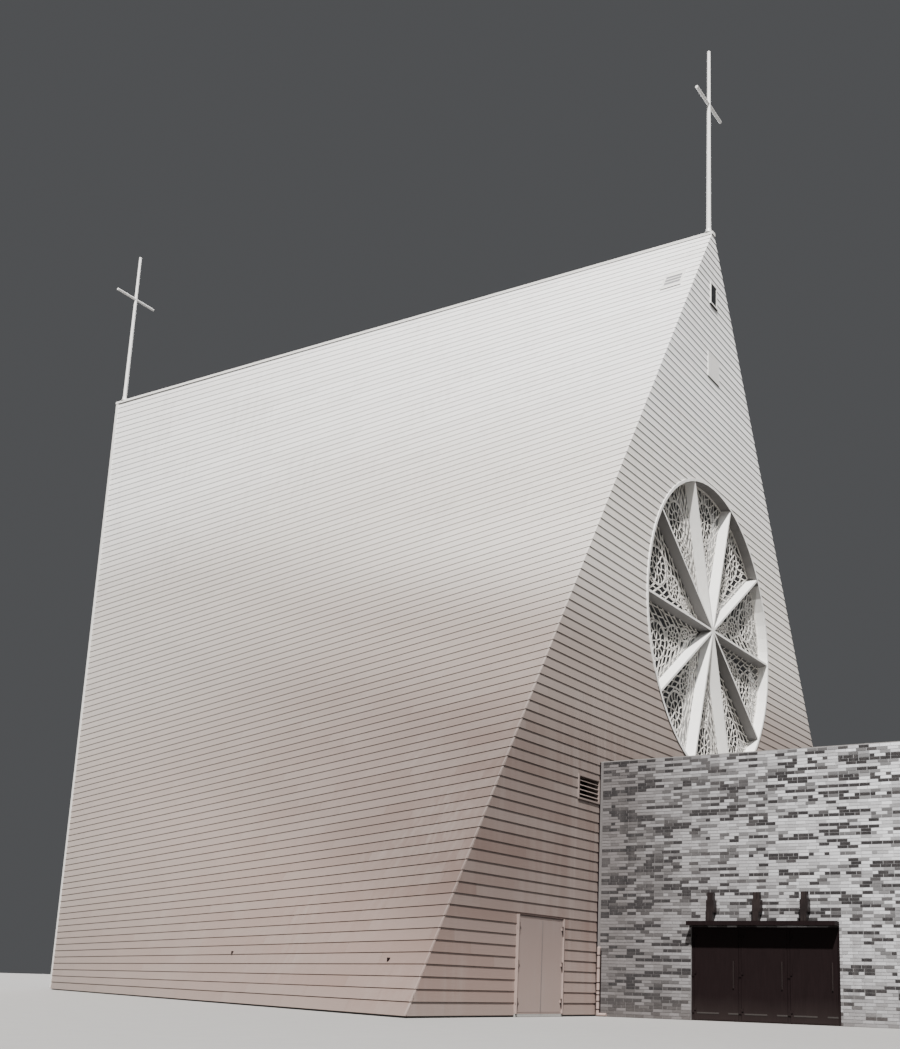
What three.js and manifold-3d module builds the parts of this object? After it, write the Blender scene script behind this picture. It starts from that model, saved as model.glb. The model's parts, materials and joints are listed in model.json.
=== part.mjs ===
import * as THREE from 'three'
import { mergeVertices } from 'three/addons/utils/BufferGeometryUtils.js'
import { ConvexGeometry } from 'three/addons/geometries/ConvexGeometry.js'
import Module from 'manifold-3d'

// A boarded church of triangular plan: a steep flat gable at the front, and two
// twisted side walls whose sloping front edges are the gable's rakes and whose
// rear edges meet in one upright line under the far end of a level ridge.
// A flat-roofed brick entrance hall stands against the middle of the gable.
// Millimetres. X runs along the gable, Y from front to rear, Z up, ground at 0.

// Main body
const GABLE_WIDTH = 31200
const SIDING_BASE = 70
const SIDING_HEIGHT = 26450
const RIDGE_LENGTH = 29800
const WALL = 350
const FACET_HEIGHT = 1100
const RIDGE_HALF = 70
const SEAT = 0.3

// Entrance hall
const HALL_HALF = 7600
const HALL_OUT = 9300
const HALL_TOP = 6505
const HALL_WALL = 300
const HALL_FLOOR = 50
const HALL_ROOF_LOW = 6055
const HALL_ROOF_HIGH = 6255
const COPING = 25
const COPING_INSET = 30
const OVERHANG = 40

// Derived places: the hall's front coping and the rear trim end the box evenly
const GABLE_Y = (HALL_OUT - RIDGE_LENGTH) / 2
const REAR_Y = GABLE_Y + RIDGE_LENGTH
const HALL_Y = GABLE_Y - HALL_OUT
const RIDGE_Z = SIDING_BASE + SIDING_HEIGHT
const CAP_Z = RIDGE_Z + 100
const CAP_HALF = RIDGE_HALF + 30
const PLINTH_INSET = 60
const PROUD = 50

// Rose window in the gable
const ROSE_Z = SIDING_BASE + 12030
const ROSE_RADIUS = 4870
const ROSE_LINING = 90
const ROSE_DEPTH = 330
const ROSE_GLASS = 30
const ROSE_RAYS = 10
const ROSE_RAY_FRONT = 30
const ROSE_RAY_NOSE_HALF = 35
const ROSE_RAY_BASE_HALF = 90
const ROSE_STEPS = 32

// Side doors in the gable
const SIDE_DOOR_X = -10470
const SIDE_DOOR_WIDTH = 2160
const SIDE_DOOR_HEIGHT = 2240
const DOOR_HEAD = SIDING_BASE + SIDE_DOOR_HEIGHT
const PORTAL_HALF = 2500

// Entrance doors in the hall's side wall, measured out from the gable
const ENTRANCE_START = 2650
const ENTRANCE_WIDTH = 3740
const ENTRANCE_HEIGHT = 2250
const ENTRANCE_RECESS = 40
const ENTRANCE_BAYS = 3
const CANOPY = { out: 330, z0: ENTRANCE_HEIGHT + 8, z1: ENTRANCE_HEIGHT + 108 }
const LANTERN_FIRST = 575
const LANTERN_STEP = 1190
const LANTERN_PARTS = [
  { half: 75, near: 100, far: 250, z0: CANOPY.z1 + SEAT, z1: 2590 },
  { half: 100, near: SEAT, far: 200, z0: 2570, z1: 2870 },
  { half: 75, near: 40, far: 190, z0: 2860, z1: 3050 }
]
const PIPE = { radius: 42, off: 58, height: 1730, foot: 250 }

// Joinery common to both doors
const JAMB = 60
const FRAME_DEPTH = 150
const SIDE_SILL = 30
const ENTRANCE_SILL = 20
const DOOR_GAP = 8
const MEETING_GAP = 10
const LEAF_THICK = 50
const HINGE_PROUD = 16
const HINGE_RADIUS = 10
const KNUCKLE = 60
const STRAP = 60

// Small gable features
const LOUVRE = { x0: -8800, x1: -7650, z0: SIDING_BASE + 5315, z1: SIDING_BASE + 5958, blades: 4 }
const PEEP = { half: 270, z0: SIDING_BASE + 23690, z1: SIDING_BASE + 24490, border: 45, sill: 25 }
const PANEL = { half: 475, z0: SIDING_BASE + 20870, z1: SIDING_BASE + 21770 }
const VENT = { y0: 470, y1: 1250, z0: SIDING_BASE + 23800, z1: SIDING_BASE + 24600, proud: 55 }
const VENT_SLOTS = { count: 3, side: 80, ends: 180, bar: 50, depth: 35 }

// Crosses
const MAST_HEIGHT = 7400
const MAST_BASE = 85
const MAST_TIP = 60
const ARM_HEIGHT = 5195
const ARM_LENGTH = 2170
const ARM_RADIUS = 55
const FRONT_MAST_Y = GABLE_Y + 150
const REAR_MAST_Y = REAR_Y - 380

const wasm = await Module()
wasm.setup()

const church = new THREE.Group()

const finishes = {
  boards: { color: 0xe9e6df, roughness: 0.7, metalness: 0 },
  trim: { color: 0xf1efe9, roughness: 0.6, metalness: 0 },
  brick: { color: 0xb7b3ab, roughness: 0.9, metalness: 0 },
  concrete: { color: 0x8c8983, roughness: 0.95, metalness: 0 },
  roofing: { color: 0x6f6c67, roughness: 0.95, metalness: 0 },
  coping: { color: 0xcfccc4, roughness: 0.5, metalness: 0.4 },
  whiteMetal: { color: 0xf4f3ef, roughness: 0.4, metalness: 0.3 },
  dark: { color: 0x2b2521, roughness: 0.5, metalness: 0.1 },
  glass: { color: 0x23262a, roughness: 0.12, metalness: 0 },
  lantern: { color: 0x4a2f22, roughness: 0.45, metalness: 0.2 }
}

function add(name, geometry, finish, parent = church) {
  const mesh = new THREE.Mesh(geometry, new THREE.MeshStandardMaterial(finishes[finish]))
  mesh.name = name
  parent.add(mesh)
  return mesh
}

// Solids and booleans

function solidOf(geometry) {
  const bare = geometry.index ? geometry.toNonIndexed() : geometry.clone()
  bare.deleteAttribute('normal')
  bare.deleteAttribute('uv')
  const merged = mergeVertices(bare, 0.001)
  const vertProperties = new Float32Array(merged.attributes.position.array)
  const triVerts = new Uint32Array(merged.index.array)
  return new wasm.Manifold(new wasm.Mesh({ numProp: 3, vertProperties, triVerts }))
}

function geometryOf(solid) {
  const mesh = solid.getMesh()
  const geometry = new THREE.BufferGeometry()
  geometry.setAttribute('position', new THREE.BufferAttribute(mesh.vertProperties, 3))
  geometry.setIndex(new THREE.BufferAttribute(mesh.triVerts, 1))
  geometry.computeVertexNormals()
  return geometry
}

function join(pieces) {
  return geometryOf(pieces.map(solidOf).reduce((whole, piece) => whole.add(piece)))
}

function cut(body, tools) {
  return geometryOf(tools.map(solidOf).reduce((rest, tool) => rest.subtract(tool), solidOf(body)))
}

// Shapes

function slab(x0, x1, y0, y1, z0, z1) {
  const geometry = new THREE.BoxGeometry(x1 - x0, y1 - y0, z1 - z0)
  return geometry.translate((x0 + x1) / 2, (y0 + y1) / 2, (z0 + z1) / 2)
}

// A flat outline drawn in X and Z, as thick as the wall from y0 to y1
function upright(shape, y0, y1) {
  const options = { depth: y1 - y0, bevelEnabled: false, curveSegments: ROSE_STEPS }
  return new THREE.ExtrudeGeometry(shape, options).rotateX(Math.PI / 2).translate(0, y1, 0)
}

function outline(points) {
  return new THREE.Shape(points.map(([x, y]) => new THREE.Vector2(x, y)))
}

function disc(radius) {
  return new THREE.Shape().absarc(0, ROSE_Z, radius, 0, Math.PI * 2, false)
}

function post(radiusTop, radiusBase, height, sides = 12) {
  return new THREE.CylinderGeometry(radiusTop, radiusBase, height, sides)
    .rotateX(Math.PI / 2).translate(0, 0, height / 2)
}

// A unit box with its points moved to where place says: for twisted and tapering walls
function warpedBox(stepsX, stepsY, stepsZ, place) {
  const geometry = new THREE.BoxGeometry(1, 1, 1, stepsX, stepsY, stepsZ)
  const points = geometry.attributes.position
  for (let i = 0; i < points.count; i++) {
    const where = place(points.getX(i) + 0.5, points.getY(i) + 0.5, points.getZ(i) + 0.5)
    points.setXYZ(i, where[0], where[1], where[2])
  }
  return geometry
}

const mix = (a, b, t) => a + (b - a) * t

// Half the body's width: straight along every level line and up every cross-section
function halfWidth(y, z) {
  const along = (y - GABLE_Y) / RIDGE_LENGTH
  const up = (z - SIDING_BASE) / SIDING_HEIGHT
  return RIDGE_HALF + (GABLE_WIDTH / 2 - RIDGE_HALF) * (1 - up) * (1 - along)
}

// Twisted side walls

function sideWall(side, extra = 0) {
  const steps = 24
  return warpedBox(1, steps, steps, (u, v, w) => {
    const y = mix(GABLE_Y + WALL + SEAT, REAR_Y, v)
    const z = mix(SIDING_BASE, RIDGE_Z, w)
    const outer = halfWidth(y, z) + extra
    const inner = Math.max(outer - extra - WALL, SEAT / 2)
    return [side < 0 ? -mix(outer, inner, u) : mix(inner, outer, u), y, z]
  })
}

add('left_side_wall', sideWall(-1), 'boards')
add('right_side_wall', sideWall(1), 'boards')

// Gable wall, in pieces beside the doorways and one piece over them

// The sloping ends of the gable follow the twisted walls, so they're built in steps
function gablePiece(left, right, z0, z1) {
  const steps = Math.ceil((z1 - z0) / FACET_HEIGHT)
  return warpedBox(1, 1, steps, (u, v, w) => {
    const y = mix(GABLE_Y, GABLE_Y + WALL, v)
    const z = mix(z0, z1, w)
    return [mix(left(y, z), right(y, z), u), y, z]
  })
}

const at = x => () => x
const leftEdge = (y, z) => -halfWidth(y, z)
const doorOuter = SIDE_DOOR_X - SIDE_DOOR_WIDTH / 2
const doorInner = SIDE_DOOR_X + SIDE_DOOR_WIDTH / 2

add('gable_left_corner', gablePiece(leftEdge, at(doorOuter), SIDING_BASE, DOOR_HEAD), 'boards')
add('gable_left_pier', gablePiece(at(doorInner), at(-PORTAL_HALF), SIDING_BASE, DOOR_HEAD), 'boards')
add('gable_right_pier', gablePiece(at(PORTAL_HALF), at(-doorInner), SIDING_BASE, DOOR_HEAD), 'boards')
add('gable_right_corner', gablePiece(at(-doorOuter), halfWidth, SIDING_BASE, DOOR_HEAD), 'boards')

function louvreHole(side) {
  const xs = [side * LOUVRE.x0, side * LOUVRE.x1].sort((a, b) => a - b)
  return slab(
    xs[0] - SEAT, xs[1] + SEAT,
    GABLE_Y - 1, GABLE_Y + WALL + 1,
    LOUVRE.z0 - SEAT, LOUVRE.z1 + SEAT
  )
}

const roseHole = upright(disc(ROSE_RADIUS + ROSE_LINING + SEAT), GABLE_Y - 1, GABLE_Y + WALL + 1)
const peepHole = slab(
  -PEEP.half - SEAT, PEEP.half + SEAT,
  GABLE_Y - 1, GABLE_Y + WALL + 1,
  PEEP.z0 - SEAT, PEEP.z1 + SEAT
)
const upperGable = gablePiece(leftEdge, halfWidth, DOOR_HEAD, RIDGE_Z)
add('gable_upper_wall', cut(upperGable, [roseHole, peepHole, louvreHole(1), louvreHole(-1)]), 'boards')

// Ridge cap and the trim over the upright rear edge

add('ridge_cap', slab(-CAP_HALF, CAP_HALF, GABLE_Y - PROUD, REAR_Y + OVERHANG, RIDGE_Z, CAP_Z), 'trim')
add('rear_corner_trim', slab(-CAP_HALF, CAP_HALF, REAR_Y, REAR_Y + OVERHANG, SIDING_BASE, RIDGE_Z), 'trim')

// Floor slab of the main body: it stands back under the boards as a shadow gap

add('nave_floor', warpedBox(1, 1, 1, (u, v, w) => {
  const y = mix(GABLE_Y + PLINTH_INSET, REAR_Y - PLINTH_INSET, v)
  const reach = halfWidth(y, SIDING_BASE) - PLINTH_INSET
  return [mix(-reach, reach, u), y, mix(0, SIDING_BASE, w)]
}), 'concrete')

// Crosses: a tapering mast on the ridge cap, with a bar through a hole near its top

function armBar(extra) {
  return new THREE.CylinderGeometry(ARM_RADIUS + extra, ARM_RADIUS + extra, ARM_LENGTH, 12)
    .rotateZ(Math.PI / 2).translate(0, 0, ARM_HEIGHT)
}

for (const [name, y] of [['front', FRONT_MAST_Y], ['rear', REAR_MAST_Y]]) {
  const cross = new THREE.Group()
  cross.position.set(0, y, CAP_Z)
  const mast = cut(post(MAST_TIP, MAST_BASE, MAST_HEIGHT), [armBar(SEAT)])
  add(`${name}_cross_mast`, mast, 'whiteMetal', cross)
  add(`${name}_cross_arm`, armBar(0), 'whiteMetal', cross)
  church.add(cross)
}

// Rose window: lining ring, a star of wedge-shaped rays and the glass behind them

const glassFront = GABLE_Y + ROSE_DEPTH - ROSE_GLASS
const ringShape = disc(ROSE_RADIUS + ROSE_LINING)
ringShape.holes.push(disc(ROSE_RADIUS))
add('rose_lining', upright(ringShape, GABLE_Y - PROUD, GABLE_Y + ROSE_DEPTH), 'trim')
add('rose_glass', upright(disc(ROSE_RADIUS - SEAT), glassFront, GABLE_Y + ROSE_DEPTH), 'glass')

function rosePoint(radius, across, y, angle) {
  const x = radius * Math.cos(angle) - across * Math.sin(angle)
  const z = radius * Math.sin(angle) + across * Math.cos(angle)
  return new THREE.Vector3(x, y, ROSE_Z + z)
}

// A ray is a long blade: a narrow nose in the gable's plane, wider at the glass
function roseRay(angle) {
  const section = [
    [GABLE_Y - ROSE_RAY_FRONT, ROSE_RAY_NOSE_HALF],
    [glassFront - SEAT, ROSE_RAY_BASE_HALF]
  ]
  const tip = ROSE_RADIUS + PROUD
  return new ConvexGeometry([0, tip].flatMap(radius => section.flatMap(([y, half]) => [
    rosePoint(radius, half, y, angle),
    rosePoint(radius, -half, y, angle)
  ])))
}

function roseStar() {
  const rays = Array.from({ length: ROSE_RAYS }, (_, i) => roseRay(i * Math.PI * 2 / ROSE_RAYS))
  const star = rays.map(solidOf).reduce((whole, piece) => whole.add(piece))
  const round = solidOf(upright(disc(ROSE_RADIUS - SEAT), GABLE_Y - PROUD, glassFront))
  return geometryOf(star.intersect(round))
}

add('rose_star', roseStar(), 'trim')

// Louvres in the gable, one beside each wall of the hall

function louvre(x0, x1) {
  const { z0, z1, blades } = LOUVRE
  const border = 45
  const y0 = GABLE_Y - PROUD
  const y1 = GABLE_Y + 100
  const pieces = [
    slab(x0, x1, y0, y1, z1 - border, z1),
    slab(x0, x1, y0, y1, z0, z0 + border),
    slab(x0, x0 + border, y0, y1, z0, z1),
    slab(x1 - border, x1, y0, y1, z0, z1)
  ]
  const pitch = (z1 - z0 - border) / (blades + 1)
  for (let i = 1; i <= blades; i++) {
    const blade = new THREE.BoxGeometry(x1 - x0 - border, 80, 14).rotateX(Math.PI / 5)
    blade.translate((x0 + x1) / 2, GABLE_Y + 5, z0 + border / 2 + pitch * i)
    pieces.push(blade)
  }
  return join(pieces)
}

add('left_louvre', louvre(LOUVRE.x0, LOUVRE.x1), 'trim')
add('right_louvre', louvre(-LOUVRE.x1, -LOUVRE.x0), 'trim')

// Small window near the apex, and the flush panel under it

function frameShape(x0, x1, z0, z1, border) {
  const shape = outline([[x0, z0], [x1, z0], [x1, z1], [x0, z1]])
  shape.holes.push(outline([
    [x0 + border, z0 + border],
    [x0 + border, z1 - border],
    [x1 - border, z1 - border],
    [x1 - border, z0 + border]
  ]))
  return shape
}

const peepFrame = frameShape(-PEEP.half, PEEP.half, PEEP.z0, PEEP.z1, PEEP.border)
const peepSill = slab(
  -PEEP.half - PEEP.border, PEEP.half + PEEP.border,
  GABLE_Y - PROUD - PEEP.sill, GABLE_Y - 1,
  PEEP.z0 - PEEP.border, PEEP.z0 + 1
)
add('apex_window_frame', join([upright(peepFrame, GABLE_Y - PROUD, GABLE_Y + 120), peepSill]), 'trim')
const paneInset = PEEP.border + SEAT
add('apex_window_glass', slab(
  -PEEP.half + paneInset, PEEP.half - paneInset,
  GABLE_Y - 38, GABLE_Y - 18,
  PEEP.z0 + paneInset, PEEP.z1 - paneInset
), 'glass')
add('gable_panel', slab(-PANEL.half, PANEL.half, GABLE_Y - PROUD, GABLE_Y, PANEL.z0, PANEL.z1), 'trim')

// Vents high on the side walls, seated on the sloping boards

function ventBox(side, y0, y1, z0, z1, inner, outer) {
  return warpedBox(1, 2, 2, (u, v, w) => {
    const y = GABLE_Y + mix(y0, y1, v)
    const z = mix(z0, z1, w)
    const low = halfWidth(y, z) + inner
    const high = halfWidth(y, z) + outer
    return [side < 0 ? -mix(high, low, u) : mix(low, high, u), y, z]
  })
}

function ridgeVent(side) {
  const { y0, y1, z0, z1, proud } = VENT
  const { count, side: margin, ends, bar, depth } = VENT_SLOTS
  const pitch = (z1 - z0 - 2 * ends + bar) / count
  const grooves = Array.from({ length: count }, (_, i) => {
    const low = z0 + ends + pitch * i
    return ventBox(side, y0 + margin, y1 - margin, low, low + pitch - bar, proud - depth, proud + 10)
  })
  return cut(ventBox(side, y0, y1, z0, z1, -proud, proud), [sideWall(side, SEAT), ...grooves])
}

add('left_ridge_vent', ridgeVent(-1), 'trim')
add('right_ridge_vent', ridgeVent(1), 'trim')

// Doors. In a doorway's own frame X runs to the right as seen from outside,
// Y goes into the building and Z up, with the frame's front face at y = 0.

function knuckle(x, z) {
  return post(HINGE_RADIUS, HINGE_RADIUS, KNUCKLE, 12).translate(x, -HINGE_PROUD, z)
}

function strap(x0, x1, z) {
  return slab(Math.min(x0, x1), Math.max(x0, x1), -HINGE_PROUD - 5, 5, z, z + KNUCKLE)
}

// The heights of the three hinges of a leaf: the leaf's knuckle stands on the frame's one
function hingeHeights(low, high) {
  return [0.1, 0.5, 0.9].map(part => mix(low, high, part))
}

// The hinge axis lies in the middle of the gap beside the jamb; side is +1 where the
// leaf runs to the right of its hinges
function leaf(axisX, side, width, low, high) {
  const near = axisX + side * DOOR_GAP / 2
  const far = near + side * width
  const pieces = [slab(Math.min(near, far), Math.max(near, far), 0, LEAF_THICK, low, high)]
  for (const z of hingeHeights(low, high)) {
    pieces.push(knuckle(axisX, z), strap(axisX, axisX + side * STRAP, z))
  }
  return join(pieces)
}

function frameHinges(axisX, side, low, high) {
  return hingeHeights(low, high).flatMap(z => {
    const under = z - KNUCKLE - SEAT
    return [knuckle(axisX, under), strap(axisX, axisX - side * STRAP, under)]
  })
}

function doorFrame(width, height, sill, mullions, hinges) {
  const pieces = [
    slab(0, JAMB, 0, FRAME_DEPTH, 0, height),
    slab(width - JAMB, width, 0, FRAME_DEPTH, 0, height),
    slab(0, width, 0, FRAME_DEPTH, height - JAMB, height),
    slab(0, width, 0, FRAME_DEPTH, 0, sill),
    ...mullions.map(x => slab(x, x + JAMB, 0, FRAME_DEPTH, 0, height))
  ]
  return join([...pieces, ...hinges])
}

// Pair of side doors in the gable

const pairLow = SIDE_SILL + DOOR_GAP
const pairHigh = SIDE_DOOR_HEIGHT - JAMB - DOOR_GAP
const pairWidth = (SIDE_DOOR_WIDTH - 2 * JAMB - 2 * DOOR_GAP - MEETING_GAP) / 2
const pairAxes = [JAMB + DOOR_GAP / 2, SIDE_DOOR_WIDTH - JAMB - DOOR_GAP / 2]

const sideDoorway = new THREE.Group()
sideDoorway.position.set(doorOuter, GABLE_Y - PROUD, SIDING_BASE)
church.add(sideDoorway)

// The frame keeps the seat gap to the wall pieces on both sides and above
const pairHinges = [
  ...frameHinges(pairAxes[0], 1, pairLow, pairHigh),
  ...frameHinges(pairAxes[1], -1, pairLow, pairHigh)
]
const pairFrame = doorFrame(SIDE_DOOR_WIDTH, SIDE_DOOR_HEIGHT, SIDE_SILL, [], pairHinges)
add('side_door_frame', pairFrame, 'trim', sideDoorway)
add('side_door_left_leaf', leaf(pairAxes[0], 1, pairWidth, pairLow, pairHigh), 'trim', sideDoorway)
add('side_door_right_leaf', leaf(pairAxes[1], -1, pairWidth, pairLow, pairHigh), 'trim', sideDoorway)

// The like pair on the other side of the hall, closed for good
const shutLow = SIDE_SILL / 2
const shutTop = pairHigh + DOOR_GAP + 5
const shutMiddle = SIDE_DOOR_WIDTH / 2
const shutLeaves = join([
  doorFrame(SIDE_DOOR_WIDTH, SIDE_DOOR_HEIGHT, SIDE_SILL, [], []),
  slab(JAMB / 2, shutMiddle - MEETING_GAP / 2, 0, LEAF_THICK, shutLow, shutTop),
  slab(shutMiddle + MEETING_GAP / 2, SIDE_DOOR_WIDTH - JAMB / 2, 0, LEAF_THICK, shutLow, shutTop),
  slab(shutMiddle - 20, shutMiddle + 20, LEAF_THICK / 2, LEAF_THICK + 10, shutLow, pairHigh)
])
const shutDoorway = new THREE.Group()
shutDoorway.position.set(-doorInner, GABLE_Y - PROUD, SIDING_BASE)
church.add(shutDoorway)
add('right_side_doors', shutLeaves, 'trim', shutDoorway)

// Entrance hall walls: the left one is split beside and over the entrance

const hallIn = HALL_HALF - HALL_WALL
const hallBack = HALL_Y + HALL_WALL
const entranceNear = GABLE_Y - ENTRANCE_START
const entranceFar = entranceNear - ENTRANCE_WIDTH
add('hall_front_wall', slab(-HALL_HALF, HALL_HALF, HALL_Y, hallBack, 0, HALL_TOP), 'brick')
add('hall_right_wall', slab(hallIn, HALL_HALF, hallBack, GABLE_Y, 0, HALL_TOP), 'brick')
add('hall_left_wall_inner', slab(-HALL_HALF, -hallIn, entranceNear, GABLE_Y, 0, HALL_TOP), 'brick')
add('hall_left_wall_outer', slab(-HALL_HALF, -hallIn, hallBack, entranceFar, 0, HALL_TOP), 'brick')
const wallOver = slab(-HALL_HALF, -hallIn, entranceFar, entranceNear, ENTRANCE_HEIGHT, HALL_TOP)
add('hall_left_wall_over', wallOver, 'brick')

const floorTab = slab(
  -HALL_HALF + ENTRANCE_RECESS + FRAME_DEPTH + SEAT, -hallIn + 1,
  entranceFar + SEAT, entranceNear - SEAT,
  0, HALL_FLOOR
)
const roomPlan = [-hallIn + SEAT, hallIn - SEAT, hallBack + SEAT, GABLE_Y - SEAT]
add('hall_floor', join([slab(...roomPlan, 0, HALL_FLOOR), floorTab]), 'concrete')
add('hall_roof', slab(...roomPlan, HALL_ROOF_LOW, HALL_ROOF_HIGH), 'roofing')

// Coping along the three walls of the hall

const copingOut = HALL_HALF - COPING_INSET
const copingIn = hallIn - OVERHANG
const copingShape = outline([
  [-copingOut, GABLE_Y - SEAT],
  [-copingOut, HALL_Y + COPING_INSET],
  [copingOut, HALL_Y + COPING_INSET],
  [copingOut, GABLE_Y - SEAT],
  [copingIn, GABLE_Y - SEAT],
  [copingIn, hallBack + OVERHANG],
  [-copingIn, hallBack + OVERHANG],
  [-copingIn, GABLE_Y - SEAT]
])
const coping = new THREE.ExtrudeGeometry(copingShape, { depth: COPING, bevelEnabled: false })
add('hall_coping', coping.translate(0, 0, HALL_TOP), 'coping')

// Entrance: a dark frame with three flush doors, a thin canopy and a lantern over each door

const entrance = new THREE.Group()
entrance.position.set(-HALL_HALF + ENTRANCE_RECESS, entranceNear, 0)
entrance.rotation.z = -Math.PI / 2
church.add(entrance)

const bayClear = (ENTRANCE_WIDTH - (ENTRANCE_BAYS + 1) * JAMB) / ENTRANCE_BAYS
const bayStarts = Array.from({ length: ENTRANCE_BAYS }, (_, i) => JAMB + i * (bayClear + JAMB))
const doorLow = ENTRANCE_SILL + DOOR_GAP
const doorHigh = ENTRANCE_HEIGHT - JAMB - DOOR_GAP
const doorWidth = bayClear - 2 * DOOR_GAP

const entranceHinges = bayStarts.flatMap(x => frameHinges(x + DOOR_GAP / 2, 1, doorLow, doorHigh))
const mullions = bayStarts.slice(1).map(x => x - JAMB)
const entranceSolid = doorFrame(ENTRANCE_WIDTH, ENTRANCE_HEIGHT, ENTRANCE_SILL, mullions, entranceHinges)
add('entrance_frame', entranceSolid, 'dark', entrance)
bayStarts.forEach((x, i) => {
  const door = leaf(x + DOOR_GAP / 2, 1, doorWidth, doorLow, doorHigh)
  add(`entrance_door_${i + 1}`, door, 'dark', entrance)
})

const canopyX = [-HALL_HALF - CANOPY.out, -HALL_HALF - SEAT]
add('entrance_canopy', slab(...canopyX, entranceFar, entranceNear, CANOPY.z0, CANOPY.z1), 'dark')

// A lantern: a foot on the canopy, a wider body against the wall and a cap
for (let i = 0; i < ENTRANCE_BAYS; i++) {
  const middle = entranceNear - LANTERN_FIRST - LANTERN_STEP * i
  const parts = LANTERN_PARTS.map(({ half, near, far, z0, z1 }) => slab(
    -HALL_HALF - far, -HALL_HALF - near,
    middle - half, middle + half,
    z0, z1
  ))
  add(`entrance_lantern_${i + 1}`, join(parts), 'lantern')
}

// Short service pipe in the corner of hall and gable: turned into the brick at its top,
// and along the foot of the wall at its lower end
const pipeX = -HALL_HALF - PIPE.off
const pipeY = GABLE_Y - PROUD - PIPE.off
const pipeTop = PIPE.height - PIPE.radius
const riser = post(PIPE.radius, PIPE.radius, pipeTop - PIPE.radius).translate(pipeX, pipeY, PIPE.radius)
const elbow = new THREE.CylinderGeometry(PIPE.radius, PIPE.radius, PIPE.off - SEAT, 12)
  .rotateZ(Math.PI / 2).translate(pipeX + (PIPE.off - SEAT) / 2, pipeY, pipeTop)
const foot = new THREE.CylinderGeometry(PIPE.radius, PIPE.radius, PIPE.foot, 12)
  .translate(pipeX, pipeY - PIPE.foot / 2, PIPE.radius)
const bends = [PIPE.radius, pipeTop].map(z => (
  new THREE.SphereGeometry(PIPE.radius, 12, 8).rotateX(Math.PI / 2).translate(pipeX, pipeY, z)
))
add('corner_pipe', join([riser, elbow, foot, ...bends]), 'whiteMetal')

export default church
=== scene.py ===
# %% [markdown]
# # A boarded church with twisted side walls
#
# The building has three kinds of surface: painted lap boards, long courses of brick
# and dark doors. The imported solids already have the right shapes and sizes, so this
# lesson lays boards, bricks, window lacework and fittings onto them, and gives every
# surface a procedural finish. We start by loading the solids as a fixed frame.

import itertools
import json
import math
import random

import bpy
import numpy as np
from mathutils import Matrix, Vector


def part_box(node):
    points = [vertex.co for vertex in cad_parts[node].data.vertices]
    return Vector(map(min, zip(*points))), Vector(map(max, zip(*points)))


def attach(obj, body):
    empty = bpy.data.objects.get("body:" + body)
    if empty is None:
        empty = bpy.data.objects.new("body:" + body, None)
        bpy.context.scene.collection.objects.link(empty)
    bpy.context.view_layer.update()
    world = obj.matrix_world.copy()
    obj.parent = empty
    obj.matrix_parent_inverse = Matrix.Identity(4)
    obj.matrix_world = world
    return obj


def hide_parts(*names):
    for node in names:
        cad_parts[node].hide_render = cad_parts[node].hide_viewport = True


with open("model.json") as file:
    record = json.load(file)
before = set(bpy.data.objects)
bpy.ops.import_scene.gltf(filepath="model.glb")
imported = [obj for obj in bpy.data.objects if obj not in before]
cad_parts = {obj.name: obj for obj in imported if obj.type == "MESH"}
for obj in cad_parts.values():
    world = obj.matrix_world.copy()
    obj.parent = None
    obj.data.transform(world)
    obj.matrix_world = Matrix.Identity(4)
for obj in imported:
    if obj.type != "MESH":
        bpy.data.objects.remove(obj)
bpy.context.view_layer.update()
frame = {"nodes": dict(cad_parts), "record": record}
solids = frame["nodes"]
print("solids loaded:", len(solids))

# %% [markdown]
# ## The sizes that everything hangs on
#
# A piece laid on a wall must follow the wall. We could type all sizes again, but
# reading them from the solids keeps both in step. The side walls are twisted: on
# every level line and in every cross-section they are straight, so one short
# formula gives half the building's width anywhere.

# %% Main sizes
GABLE_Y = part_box("gable_upper_wall")[0].y
REAR_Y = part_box("left_side_wall")[1].y
BASE_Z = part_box("left_side_wall")[0].z
RIDGE_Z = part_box("left_side_wall")[1].z
CAP_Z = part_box("ridge_cap")[1].z
FOOT_HALF = -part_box("gable_left_corner")[0].x
RIDGE_HALF = 0.07


def half_width(y, z):
    along = (y - GABLE_Y) / (REAR_Y - GABLE_Y)
    up = (z - BASE_Z) / (RIDGE_Z - BASE_Z)
    return RIDGE_HALF + (FOOT_HALF - RIDGE_HALF) * (1 - up) * (1 - along)


def lean(y, z):
    """How much longer a step square to the side wall is when it is taken level."""
    along = (y - GABLE_Y) / (REAR_Y - GABLE_Y)
    up = (z - BASE_Z) / (RIDGE_Z - BASE_Z)
    by_y = (FOOT_HALF - RIDGE_HALF) * (1 - up) / (REAR_Y - GABLE_Y)
    by_z = (FOOT_HALF - RIDGE_HALF) * (1 - along) / (RIDGE_Z - BASE_Z)
    return math.sqrt(1 + by_y ** 2 + by_z ** 2)


print("gable", round(2 * FOOT_HALF, 2), "m wide, ridge", round(REAR_Y - GABLE_Y, 2), "m long")

# %% [markdown]
# ## Gathering faces
#
# Boards and bricks are many small flat faces. Making an object for each would be
# slow and hard to handle, so a pile collects the faces of a whole wall and turns
# them into one mesh. Each face keeps a number, its tone, that a material can read
# to make one board or brick a little different from the next.

# %% A pile of faces


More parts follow.
